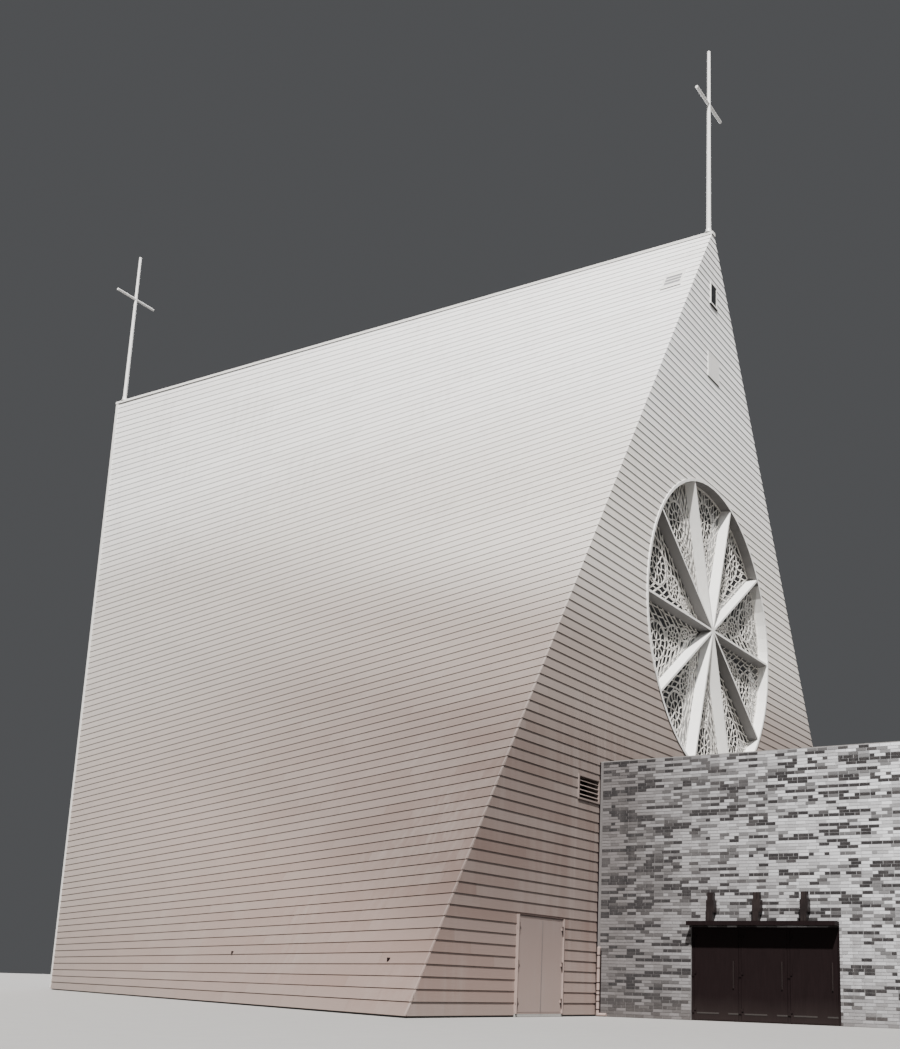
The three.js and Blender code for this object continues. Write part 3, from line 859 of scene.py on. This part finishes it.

# %% [markdown]
# ## Fittings of the walls
#
# Where boards meet brick a dark strip stands in the joint as painted shade, and beside
# it stands a pipe with clips at uneven heights and a dark plate behind it, also painted
# shade. A dark plate under the small window's sill is a painted shadow line, the ridge
# vents show three slanted slats painted grey as the shade between them, and two
# outlets sit low on the left wall.

# %% Painted shade in the joint between boards and brick, and pipe straps
# Dark strips in the joint between boards and brick are painted shade
fitting("hall_corner_shade_strips", [
    ((a, GABLE_Y - 0.046, BASE_Z), (b, GABLE_Y - 0.004, HALL_TOP))
    for a, b in both_sides(HALL_X + 0.005, HALL_X + 0.026)
], 0.001)

PIPE_RADIUS = 0.042
STRAP_PROUD, STRAP_TALL = 0.005, 0.024
STRAP_HEIGHTS = (0.16, 0.36, 0.52, 0.62, 0.82, 1.18, 1.5)
pipe_low, pipe_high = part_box("corner_pipe")
pile = Pile()
for z in STRAP_HEIGHTS:
    centre = (pipe_low.x + PIPE_RADIUS, pipe_high.y - PIPE_RADIUS)
    stub(pile, centre, PIPE_RADIUS + STRAP_PROUD, z, z + STRAP_TALL)
# A dark plate on the brick behind the pipe is painted shade
bevelled_block(pile, (-HALL_X - 0.012, pipe_high.y - 2 * PIPE_RADIUS - 0.016, 0.1),
               (-HALL_X - 0.005, pipe_high.y + 0.012, pipe_high.z - 2 * PIPE_RADIUS - 0.02), 0.001)
pile.piece("pipe_straps_and_shade")

# %% Painted shadow under the small window's sill
sill_low, sill_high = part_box("apex_window_frame")
# A dark plate under the sill is a painted shadow line
fitting("apex_sill_shadow", [
    ((sill_low.x + 0.012, sill_low.y + 0.004, sill_low.z - 0.012),
     (sill_high.x - 0.012, GABLE_Y - 0.02, sill_low.z + 0.001)),
], 0.001)

# %% Slats in the ridge vents, painted grey as shade
VENT_RIM = 0.083
SLATS, SLAT_STEP, SLAT_TALL = 3, 0.1633, 0.107
SLAT_SECTION = ((0, 0.024), (0, 0.050), (SLAT_TALL, 0.034), (SLAT_TALL, 0.024))

pile = Pile()
for side in (-1, 1):
    for number in range(SLATS):
        z0 = vent_low.z + 0.183 + SLAT_STEP * number
        rings = []
        for y in (vent_low.y + VENT_RIM, vent_high.y - VENT_RIM):
            ring = [(side * (half_width(y, z0 + rise) + off * lean(y, z0 + rise)), y, z0 + rise)
                    for rise, off in SLAT_SECTION]
            rings.append(ring if side > 0 else ring[::-1])
        loft(pile, rings)
pile.piece("ridge_vent_slats")

# %% Outlets low on the left wall
OUTLETS = ((1.38, 10.54), (1.17, 1.59))
HALF_WIDE, HALF_TALL = 0.035, 0.045

blocks = []
for z, back in OUTLETS:
    y = GABLE_Y + back
    x = -(half_width(y, z) + 0.02)
    blocks.append(((x - 0.035, y - HALF_WIDE, z - HALF_TALL), (x + 0.05, y + HALF_WIDE, z + HALF_TALL)))
fitting("wall_outlets", blocks, 0.006)

# %% [markdown]
# ## Groups of nodes that several finishes share
#
# Weather marks, paint grain and dirt near the ground appear on boards, bricks,
# concrete and metal alike, at other strengths, and the trim takes painted shade on
# faces that look down. Each is a node group with named inputs, built once and placed
# in each material that shows it, with its own values.
# A group only gives numbers that change over the surface: the shader itself stays
# in the material.

# %% Helpers for node trees


def put(tree, kind, **settings):
    made = tree.nodes.new(kind)
    for key, value in settings.items():
        setattr(made, key, value)
    return made


def give(socket, value):
    """Link an input to a socket, or store a plain value in it."""
    if isinstance(value, bpy.types.NodeSocket):
        socket.id_data.links.new(value, socket)
    elif value is not None:
        socket.default_value = value


def feed(node, **values):
    """Give inputs by name."""
    for key, value in values.items():
        give(node.inputs[key.replace("_", " ")], value)
    return node


def shader_group(name, inputs, output, build):
    tree = bpy.data.node_groups.new(name, "ShaderNodeTree")
    for key, value in inputs.items():
        socket = tree.interface.new_socket(key, in_out="INPUT", socket_type="NodeSocketFloat")
        socket.default_value = value
    tree.interface.new_socket(output, in_out="OUTPUT", socket_type="NodeSocketFloat")
    entry, leave = put(tree, "NodeGroupInput"), put(tree, "NodeGroupOutput")
    give(leave.inputs[output], build(tree, entry.outputs))
    return tree


# %% Sums, ramps and places


def calc(tree, operation, a, b=None, clamp=False):
    made = put(tree, "ShaderNodeMath", operation=operation, use_clamp=clamp)
    give(made.inputs[0], a)
    give(made.inputs[1], b)
    return made.outputs[0]


def ramp(tree, value, low, high, to_low=0.0, to_high=1.0):
    made = put(tree, "ShaderNodeMapRange", clamp=True)
    feed(made, Value=value, From_Min=low, From_Max=high, To_Min=to_low, To_Max=to_high)
    return made.outputs[0]


def stretched(tree, x, y, z):
    """The place on the object, scaled along each axis."""
    scaled = put(tree, "ShaderNodeVectorMath", operation="MULTIPLY")
    give(scaled.inputs[0], put(tree, "ShaderNodeTexCoord").outputs["Object"])
    give(scaled.inputs[1], (x, y, z))
    return scaled.outputs[0]


def axes_of(tree, which="Object"):
    """X, Y and Z of the place on the object, or of the way a face looks."""
    split = put(tree, "ShaderNodeSeparateXYZ")
    give(split.inputs[0], put(tree, "ShaderNodeTexCoord").outputs[which])
    return split.outputs


def noise(tree, place, **values):
    return feed(put(tree, "ShaderNodeTexNoise"), Vector=place, **values).outputs[0]


# %% Shared groups


def build_streaks(tree, given):
    """Rain marks: long upright streaks broken by a coarse cloud."""
    streak = noise(tree, stretched(tree, 5.0, 5.0, 0.22), Scale=given["Scale"], Detail=5.0, Roughness=0.6)
    cloud = noise(tree, stretched(tree, 0.35, 0.35, 0.35), Scale=given["Scale"], Detail=3.0)
    both = calc(tree, "MULTIPLY", ramp(tree, streak, 0.42, 0.72), ramp(tree, cloud, 0.38, 0.66))
    return calc(tree, "MULTIPLY", both, given["Strength"], True)


def build_foot(tree, given):
    """Dirt that rises from the ground to a height, with an uneven edge."""
    uneven = noise(tree, stretched(tree, 1.0, 1.0, 0.6), Scale=1.4, Detail=4.0)
    shift = calc(tree, "MULTIPLY", calc(tree, "SUBTRACT", uneven, 0.5), given["Uneven"])
    level = calc(tree, "DIVIDE", calc(tree, "ADD", axes_of(tree)["Z"], shift), given["Height"])
    return calc(tree, "SUBTRACT", 1.0, level, True)


def build_down_shade(tree, given):
    """Painted shade on faces that look down: the more they face the ground, the darker."""
    down = calc(tree, "MULTIPLY", axes_of(tree, "Normal")["Z"], -1.0)
    return calc(tree, "MULTIPLY", ramp(tree, down, 0.42, 0.6), given["Strength"], True)


def build_speckle(tree, given):
    """Fine even grain for mineral surfaces and rolled paint."""
    fine = noise(tree, stretched(tree, 1, 1, 1), Scale=given["Scale"], Detail=6.0, Roughness=0.7)
    return ramp(tree, fine, 0.3, 0.7)


streaks = shader_group("rain_streaks", {"Scale": 1.0, "Strength": 1.0}, "Mask", build_streaks)
foot_dirt = shader_group("foot_dirt", {"Height": 1.0, "Uneven": 0.5}, "Mask", build_foot)
painted_down_shade = shader_group("painted_down_shade", {"Strength": 1.0}, "Mask", build_down_shade)
speckle = shader_group("speckle", {"Scale": 60.0}, "Value", build_speckle)
print("groups:", [g.name for g in bpy.data.node_groups])

# %% [markdown]
# ## Finishes
#
# Every finish starts from the same skeleton: a base colour, darkened or lightened by
# the shared masks, a roughness that follows the dirt and a fine bump. What differs
# is written in each material: boards take their tone board by board, bricks run
# from pale to nearly black, glass stays dark and glossy.

# %% Skeleton of a finish


def use(tree, group, **values):
    made = put(tree, "ShaderNodeGroup", node_tree=group)
    return feed(made, **values).outputs[0]


def blend(tree, share, a, b):
    """A share of b over a; both are colours, as sockets or (red, green, blue)."""
    made = put(tree, "ShaderNodeMix", data_type="RGBA", clamp_factor=True)
    give(made.inputs[0], share)
    for socket, value in ((made.inputs[6], a), (made.inputs[7], b)):
        give(socket, value if isinstance(value, bpy.types.NodeSocket) else (*value, 1))
    return made.outputs[2]


def colour_stops(tree, amount, stops, way="EASE"):
    """A colour ramp with its stops given as {place: (red, green, blue)}, in order."""
    node = put(tree, "ShaderNodeValToRGB")
    node.color_ramp.interpolation = way
    elements, places = node.color_ramp.elements, list(stops)
    elements[0].position, elements[-1].position = places[0], places[-1]
    for at in places[1:-1]:
        elements.new(at)
    for element, colour in zip(elements, stops.values()):
        element.color = (*colour, 1)
    give(node.inputs[0], amount)
    return node.outputs[0]


def tone_of(tree):
    return put(tree, "ShaderNodeAttribute", attribute_name="tone").outputs["Fac"]


def finish_of(name, build, *values, **plain):
    """A material: build gives colour, roughness, bump height and the bump's depth."""
    made = bpy.data.materials.new(name)
    made.use_nodes = True
    tree = made.node_tree
    shader = tree.nodes["Principled BSDF"]
    colour, rough, height, depth = build(tree, *values)
    feed(shader, Base_Color=colour, **plain)
    if rough is not None:
        give(shader.inputs["Roughness"], rough)
    if height is not None:
        bump = feed(put(tree, "ShaderNodeBump"), Height=height, Distance=depth, Strength=0.6)
        give(shader.inputs["Normal"], bump.outputs[0])
    print("finish", name)
    return made


# %% [markdown]
# ## Parts of a finish
#
# Three steps come back in several finishes: an even grain between two colours, rain
# marks that also roughen the surface, and dirt splashed up from the ground.

# %% Grained, washed and splashed surfaces


def grained(tree, scale, dark, light, rough, depth):
    grain = use(tree, speckle, Scale=scale)
    return blend(tree, grain, dark, light), ramp(tree, grain, 0, 1, *rough), grain, depth


def washed(tree, scale, strength, clean, stained, rough, grain, depth):
    """rough is (the mark at which it ends, roughness when clean, roughness there)."""
    marks = use(tree, streaks, Scale=scale, Strength=strength)
    rough = ramp(tree, marks, 0, *rough)
    return blend(tree, marks, clean, stained), rough, use(tree, speckle, Scale=grain), depth


def splashed(tree, under, height, uneven, share, dirt):
    mask = use(tree, foot_dirt, Height=height, Uneven=uneven)
    return blend(tree, calc(tree, "MULTIPLY", mask, share), under, dirt)


# %% [markdown]
# ## Paint
#
# The white paint is grey and a little warm in its lower half near the front corner,
# with an edge that climbs towards the rear, where the wall stays paler. One colour
# ramp by height describes the front edge and another the rear edge, and the depth
# along the building blends them. The tones are painted into the colour, so they stay
# on the wall in every view. The doors and the pipe are painted with it too.

# %% Painted boards and doors
LOW_GREY_FRONT = {
    0.01: (0.225, 0.157, 0.136), 0.12: (0.135, 0.094, 0.082), 0.22: (0.138, 0.101, 0.089),
    0.34: (0.262, 0.216, 0.194), 0.5: (0.676, 0.642, 0.605), 0.8: (0.9, 0.9, 0.9),
}
LOW_GREY_REAR = {
    0.01: (0.340, 0.274, 0.245), 0.25: (0.414, 0.354, 0.322),
    0.6: (0.563, 0.531, 0.501), 0.85: (0.88, 0.88, 0.87),
}
EDGE_CLIMB = 0.33


def white_grey_low(tree):
    """White paint, greyer and warmer low down near the front, paler towards the rear."""
    place = axes_of(tree)
    height = ramp(tree, place["Z"], 0.0, RIDGE_Z)
    depth = ramp(tree, place["Y"], GABLE_Y, REAR_Y)
    lower = calc(tree, "SUBTRACT", height, calc(tree, "MULTIPLY", depth, EDGE_CLIMB))
    front, rear = colour_stops(tree, lower, LOW_GREY_FRONT), colour_stops(tree, height, LOW_GREY_REAR)
    return blend(tree, depth, front, rear)


def board_build(tree):
    tone = tone_of(tree)
    paler = blend(tree, ramp(tree, tone, 0, -1, 0, 0.4), white_grey_low(tree), (0.85, 0.84, 0.83))
    varied = blend(tree, ramp(tree, tone, 0, 1, 0.0, 0.14), paler, (0.36, 0.33, 0.315))
    marks = use(tree, streaks, Scale=1.0, Strength=0.22)
    stained = blend(tree, marks, varied, (0.34, 0.31, 0.29))
    dirty = splashed(tree, stained, 0.6, 0.4, 0.25, (0.25, 0.22, 0.2))
    # Painted shade: tones above 1 turn nearly black, as the shadow under each lap
    lap_shade = blend(tree, ramp(tree, tone, 1, 2), dirty, (0.012, 0.008, 0.009))
    grain = noise(tree, stretched(tree, 0.7, 0.7, 26.0), Scale=3.0, Detail=4.0)
    return lap_shade, ramp(tree, marks, 0, 0.3, 0.55, 0.8), grain, 0.003


def door_build(tree):
    fresher = blend(tree, 0.08, white_grey_low(tree), (0.80, 0.74, 0.72))
    return washed(tree, 2.2, 0.25, fresher, (0.30, 0.265, 0.25), (0.3, 0.5, 0.7), 30.0, 0.0012)


painted_boards = finish_of("painted_boards", board_build, Specular_IOR_Level=0.35)
painted_doors = finish_of("painted_doors", door_build, Specular_IOR_Level=0.4)

# %% Trim, masts and the window's screen


def trim_build(tree):
    clean, stained = (0.80, 0.795, 0.775), (0.42, 0.39, 0.35)
    colour, *rest = washed(tree, 1.6, 0.22, clean, stained, (0.3, 0.42, 0.7), 40.0, 0.0015)
    # Faces that look down turn nearly black: painted shade
    return blend(tree, use(tree, painted_down_shade, Strength=0.95), colour, (0.105, 0.1, 0.1)), *rest


painted_trim = finish_of("painted_trim", trim_build, Specular_IOR_Level=0.4)
white_metal = finish_of("white_metal", washed, 2.4, 0.3, (0.86, 0.86, 0.85), (0.5, 0.47, 0.43),
                        (0.4, 0.3, 0.6), 80.0, 0.0006)
cast_screen = finish_of("cast_screen", grained, 24.0, (0.60, 0.575, 0.54), (0.78, 0.76, 0.72),
                        (0.8, 0.6), 0.003, Specular_IOR_Level=0.3)

# %% [markdown]
# ## Brick
#
# A brick's tone picks its fired colour from a ramp. The pale bricks are also lightened:
# painted light on the open wall, less of it in the corner by the gable and near the
# ground, which stay in painted shade. The mortar follows them, or it would stand out as
# a dark net.

# %% Brick and mortar
FIRED = {
    0.0: (0.140, 0.129, 0.130), 0.28: (0.098, 0.090, 0.090), 0.5: (0.046, 0.042, 0.042),
    0.75: (0.015, 0.013, 0.014), 1.0: (0.009, 0.008, 0.009),
}
LIT_BRICK_WHITE = (0.80, 0.815, 0.85)


def painted_brick_light(tree):
    """Painted light on the hall's pale bricks: weaker in the corner by the gable and near the ground,
    which keep painted shade.
    """
    place = axes_of(tree)
    away = ramp(tree, place["Y"], GABLE_Y - 0.7, GABLE_Y - 7.8)
    return calc(tree, "MULTIPLY", away, ramp(tree, place["Z"], 0.5, 4.5, 0.45, 1.0))


def brick_build(tree):
    tone = tone_of(tree)
    fired = colour_stops(tree, tone, FIRED, "LINEAR")
    palest, darker = ramp(tree, tone, 0.0, 0.28, 1.0, 0.4), ramp(tree, tone, 0.3, 0.65, 0.0, 0.4)
    pale_brick = calc(tree, "SUBTRACT", palest, darker, True)
    # Painted light lightens the pale bricks away from the corner by the gable
    lit_bricks = blend(tree, calc(tree, "MULTIPLY", painted_brick_light(tree), pale_brick), fired, LIT_BRICK_WHITE)
    grain = use(tree, speckle, Scale=55.0)
    mottled = blend(tree, calc(tree, "MULTIPLY", grain, 0.12), lit_bricks, (0.16, 0.15, 0.15))
    stained = blend(tree, use(tree, streaks, Scale=1.4, Strength=0.3), mottled, (0.14, 0.13, 0.13))
    dirty = splashed(tree, stained, 0.7, 0.5, 0.4, (0.13, 0.115, 0.11))
    return dirty, ramp(tree, grain, 0, 1, 0.9, 0.7), grain, 0.004


def mortar_build(tree):
    base, *rest = grained(tree, 120.0, (0.095, 0.088, 0.088), (0.138, 0.129, 0.128), (0.95, 0.85), 0.003)
    # The mortar takes the same painted light as the bricks
    base = blend(tree, calc(tree, "MULTIPLY", painted_brick_light(tree), 0.65), base, (0.52, 0.53, 0.55))
    return blend(tree, use(tree, streaks, Scale=1.4, Strength=0.3), base, (0.18, 0.165, 0.155)), *rest


laid_brick = finish_of("laid_brick", brick_build, Specular_IOR_Level=0.3)
mortar = finish_of("mortar", mortar_build, Specular_IOR_Level=0.2)

# %% Concrete, roofing and coping


def roofing_build(tree):
    stones = put(tree, "ShaderNodeTexVoronoi")
    feed(stones, Vector=stretched(tree, 1, 1, 1), Scale=26.0)
    pale = ramp(tree, stones.outputs["Distance"], 0.1, 0.7)
    base = blend(tree, pale, (0.36, 0.35, 0.335), (0.13, 0.125, 0.12))
    patch = calc(tree, "MULTIPLY", use(tree, speckle, Scale=1.3), 0.35)
    return blend(tree, patch, base, (0.2, 0.19, 0.175)), ramp(tree, pale, 0, 1, 0.8, 0.95), pale, -0.01


roof_gravel = finish_of("roof_gravel", roofing_build, Specular_IOR_Level=0.25)
concrete = finish_of("concrete", grained, 30.0, (0.24, 0.23, 0.22), (0.40, 0.39, 0.37),
                     (0.9, 0.75), 0.002, Specular_IOR_Level=0.3)
coping_metal = finish_of("coping_metal", washed, 2.0, 0.6, (0.26, 0.25, 0.245), (0.17, 0.16, 0.15),
                         (0.6, 0.35, 0.6), 50.0, 0.001, Metallic=0.35)
# Grey slats: painted shade of the vent's slots
slat_shade_grey = finish_of("slat_shade_grey", grained, 40.0, (0.22, 0.22, 0.235), (0.28, 0.28, 0.295),
                      (0.6, 0.8), 0.001)
seal_and_gap_shade = finish_of("seal_and_gap_shade", grained, 60.0, (0.12, 0.10, 0.095), (0.17, 0.145, 0.14),
                      (0.55, 0.75), 0.001)

# %% Dark timber, glass and lanterns


def timber_build(tree):
    grain = noise(tree, stretched(tree, 22.0, 22.0, 1.2), Scale=2.0, Detail=6.0, Roughness=0.65)
    base = blend(tree, grain, (0.004, 0.002, 0.0022), (0.012, 0.007, 0.0075))
    worn = splashed(tree, base, 0.6, 0.4, 0.25, (0.05, 0.04, 0.037))
    return worn, ramp(tree, grain, 0.3, 0.7, 0.5, 0.7), grain, 0.0015


def glass_build(tree):
    colour, rough, *_ = grained(tree, 9.0, (0.010, 0.011, 0.012), (0.028, 0.028, 0.028), (0.06, 0.16), 0)
    return colour, rough, noise(tree, stretched(tree, 1, 1, 1), Scale=1.1, Detail=2.0), 0.01


dark_timber = finish_of("dark_timber", timber_build, Specular_IOR_Level=0.08)
window_glass = finish_of("window_glass", glass_build, Coat_Weight=0.5, Coat_Roughness=0.04)
lantern_metal = finish_of("lantern_metal", washed, 6.0, 0.8, (0.009, 0.005, 0.005), (0.03, 0.018, 0.015),
                          (0.6, 0.45, 0.65), 120.0, 0.0008, Metallic=0.3)
strip_metal = finish_of("strip_metal", grained, 90.0, (0.030, 0.026, 0.025), (0.052, 0.045, 0.042),
                        (0.4, 0.55), 0.0005, Metallic=0.3)

# %% [markdown]
# ## Giving each piece its finish
#
# The solids carry the slot names of the part's record, and a table says which finish
# each slot takes, apart from a few nodes that are painted like the doors. The pieces
# made here are named one by one.

# %% Finish the solids
slot_finish = {
    "boards": painted_boards, "trim": painted_trim, "brick": mortar, "concrete": concrete,
    "roofing": roof_gravel, "coping": coping_metal, "white_metal": white_metal,
    "dark_timber": dark_timber, "glass": window_glass, "lantern": lantern_metal,
}
node_finish = dict.fromkeys((
    "side_door_frame", "side_door_left_leaf", "side_door_right_leaf", "right_side_doors",
    "left_louvre", "right_louvre", "corner_pipe",
), painted_doors)
for entry in frame["record"]["subparts"]:
    mesh = solids[entry["node"]].data
    mesh.materials.clear()
    mesh.materials.append(node_finish.get(entry["node"], slot_finish[entry["material_slot"]]))

# %% Finish the pieces made here
made_pieces = (
    (painted_boards, ["gable_boards", "left_side_boards", "right_side_boards", "board_corners"]),
    (painted_trim, ["ridge_sheet", "rear_corner_sheet"]),
    (painted_doors, ["side_door_casings"]),
    (laid_brick, ["hall_left_bricks", "hall_front_bricks", "hall_right_bricks"]),
    (cast_screen, ["rose_screen"]),
    (coping_metal, ["coping_joints"]),
    (white_metal, ["mast_collars"]),
    (concrete, ["side_door_thresholds"]),
    (slat_shade_grey, ["ridge_vent_slats"]),
    (seal_and_gap_shade, ["side_door_meeting_strip"]),
    # Here the dark timber finish also paints the shade strips and the sill's shadow line
    (dark_timber, ["wall_outlets", "side_door_head_shadows", "apex_sill_shadow", "hall_corner_shade_strips"]),
    (strip_metal, ["entrance_kick_strip_%d" % number for number in DOOR_NUMBERS]),
    (lantern_metal, ["side_door_hinge_barrels", "pipe_straps_and_shade"]
     + ["entrance_pull_%d" % number for number in DOOR_NUMBERS]),
)
for finish, names in made_pieces:
    for name in names:
        bpy.data.objects[name].data.materials.append(finish)
print(sum(len(names) for _, names in made_pieces), "pieces finished")

# %% [markdown]
# ## Floor, light and camera
#
# The building stands on a plain pale floor. Three distant lamps light it: a strong
# narrow one, high on the left and in front, throws the board shadows, and two wide
# weak ones from the rear right and the front soften them and keep the back readable.
# A faint even surround fills the rest. Sun lamps suit a building, because their light
# is the same over its whole length. The floor looks pale but gives little light back,
# because a wide bright floor would fill every shadow from below and flatten the boards
# and the rays. The camera stands low near the left front corner and looks up past the
# gable.

# %% Floor
FLOOR_HALF = 400
FLOOR_DROP = 0.002

floor_mesh = bpy.data.meshes.new("floor")
corners = [(x * FLOOR_HALF, y * FLOOR_HALF, 0) for x, y in ((-1, -1), (1, -1), (1, 1), (-1, 1))]
floor_mesh.from_pydata(corners, [], [(0, 1, 2, 3)])
floor_piece = bpy.data.objects.new("floor", floor_mesh)
bpy.context.scene.collection.objects.link(floor_piece)
floor_piece.location.z = -FLOOR_DROP


def floor_build(tree):
    grain = use(tree, speckle, Scale=2.0)
    pale = blend(tree, grain, (0.26, 0.256, 0.252), (0.28, 0.276, 0.272))
    bounce = put(tree, "ShaderNodeLightPath").outputs["Is Diffuse Ray"]
    return blend(tree, bounce, pale, (0.10, 0.098, 0.095)), None, None, 0


floor_mesh.materials.append(finish_of("pale_floor", floor_build, Roughness=0.9))

# %% Light
world = bpy.data.worlds.new("surround")
bpy.context.scene.world = world
world.use_nodes = True
feed(world.node_tree.nodes["Background"], Color=(0.86, 0.88, 0.92, 1), Strength=0.1)

# Each lamp: the way to it, its strength, its width in degrees and its tint
LAMPS = {
    "key_lamp": (Vector((-0.55, -0.27, 0.79)), 10.5, 2, (1.0, 0.975, 0.94)),
    "rear_fill": (Vector((0.75, 0.5, 0.43)), 2.2, 50, (0.95, 0.97, 1.0)),
    "front_fill": (Vector((-0.25, -0.66, 0.71)), 1.0, 30, (0.97, 0.98, 1.0)),
}
for name, (toward, strength, width, tint) in LAMPS.items():
    lamp_data = bpy.data.lights.new(name, "SUN")
    lamp_data.energy = strength
    lamp_data.angle = math.radians(width)
    lamp_data.color = tint
    lamp = bpy.data.objects.new(name, lamp_data)
    lamp.rotation_euler = toward.to_track_quat("Z", "Y").to_euler()
    bpy.context.scene.collection.objects.link(lamp)
print("lamps:", list(LAMPS))

# %% [markdown]
# A camera that looks up makes upright edges lean together. The photograph's edges lean
# less than that, because its lens was shifted upward instead of tilted. The camera here
# does a part of both, so that the building also stays in the frame in the other views.

# %% Camera
CAMERA_AT = Vector((-36.895, -25.864, 0.69))
YAW, PITCH, ROLL = (math.radians(a) for a in (30.2, 13.05, 1.65))
LENS, SENSOR = 43.614, 36
SHIFT_X, SHIFT_Y = -0.1, 0.16

ahead = Vector((math.cos(YAW) * math.cos(PITCH), math.sin(YAW) * math.cos(PITCH), math.sin(PITCH)))
level_right = Vector((math.sin(YAW), -math.cos(YAW), 0))
level_up = level_right.cross(ahead)
right = level_right * math.cos(ROLL) + level_up * math.sin(ROLL)
up = level_up * math.cos(ROLL) - level_right * math.sin(ROLL)

camera_data = bpy.data.cameras.new("camera")
camera_data.lens, camera_data.sensor_width = LENS, SENSOR
camera_data.shift_x, camera_data.shift_y = SHIFT_X, SHIFT_Y
camera_data.clip_end = 2000
camera = bpy.data.objects.new("camera", camera_data)
camera.matrix_world = Matrix((right, up, -ahead)).transposed().to_4x4()
camera.location = CAMERA_AT
bpy.context.scene.collection.objects.link(camera)
bpy.context.scene.camera = camera
print("camera", [round(v, 2) for v in CAMERA_AT])
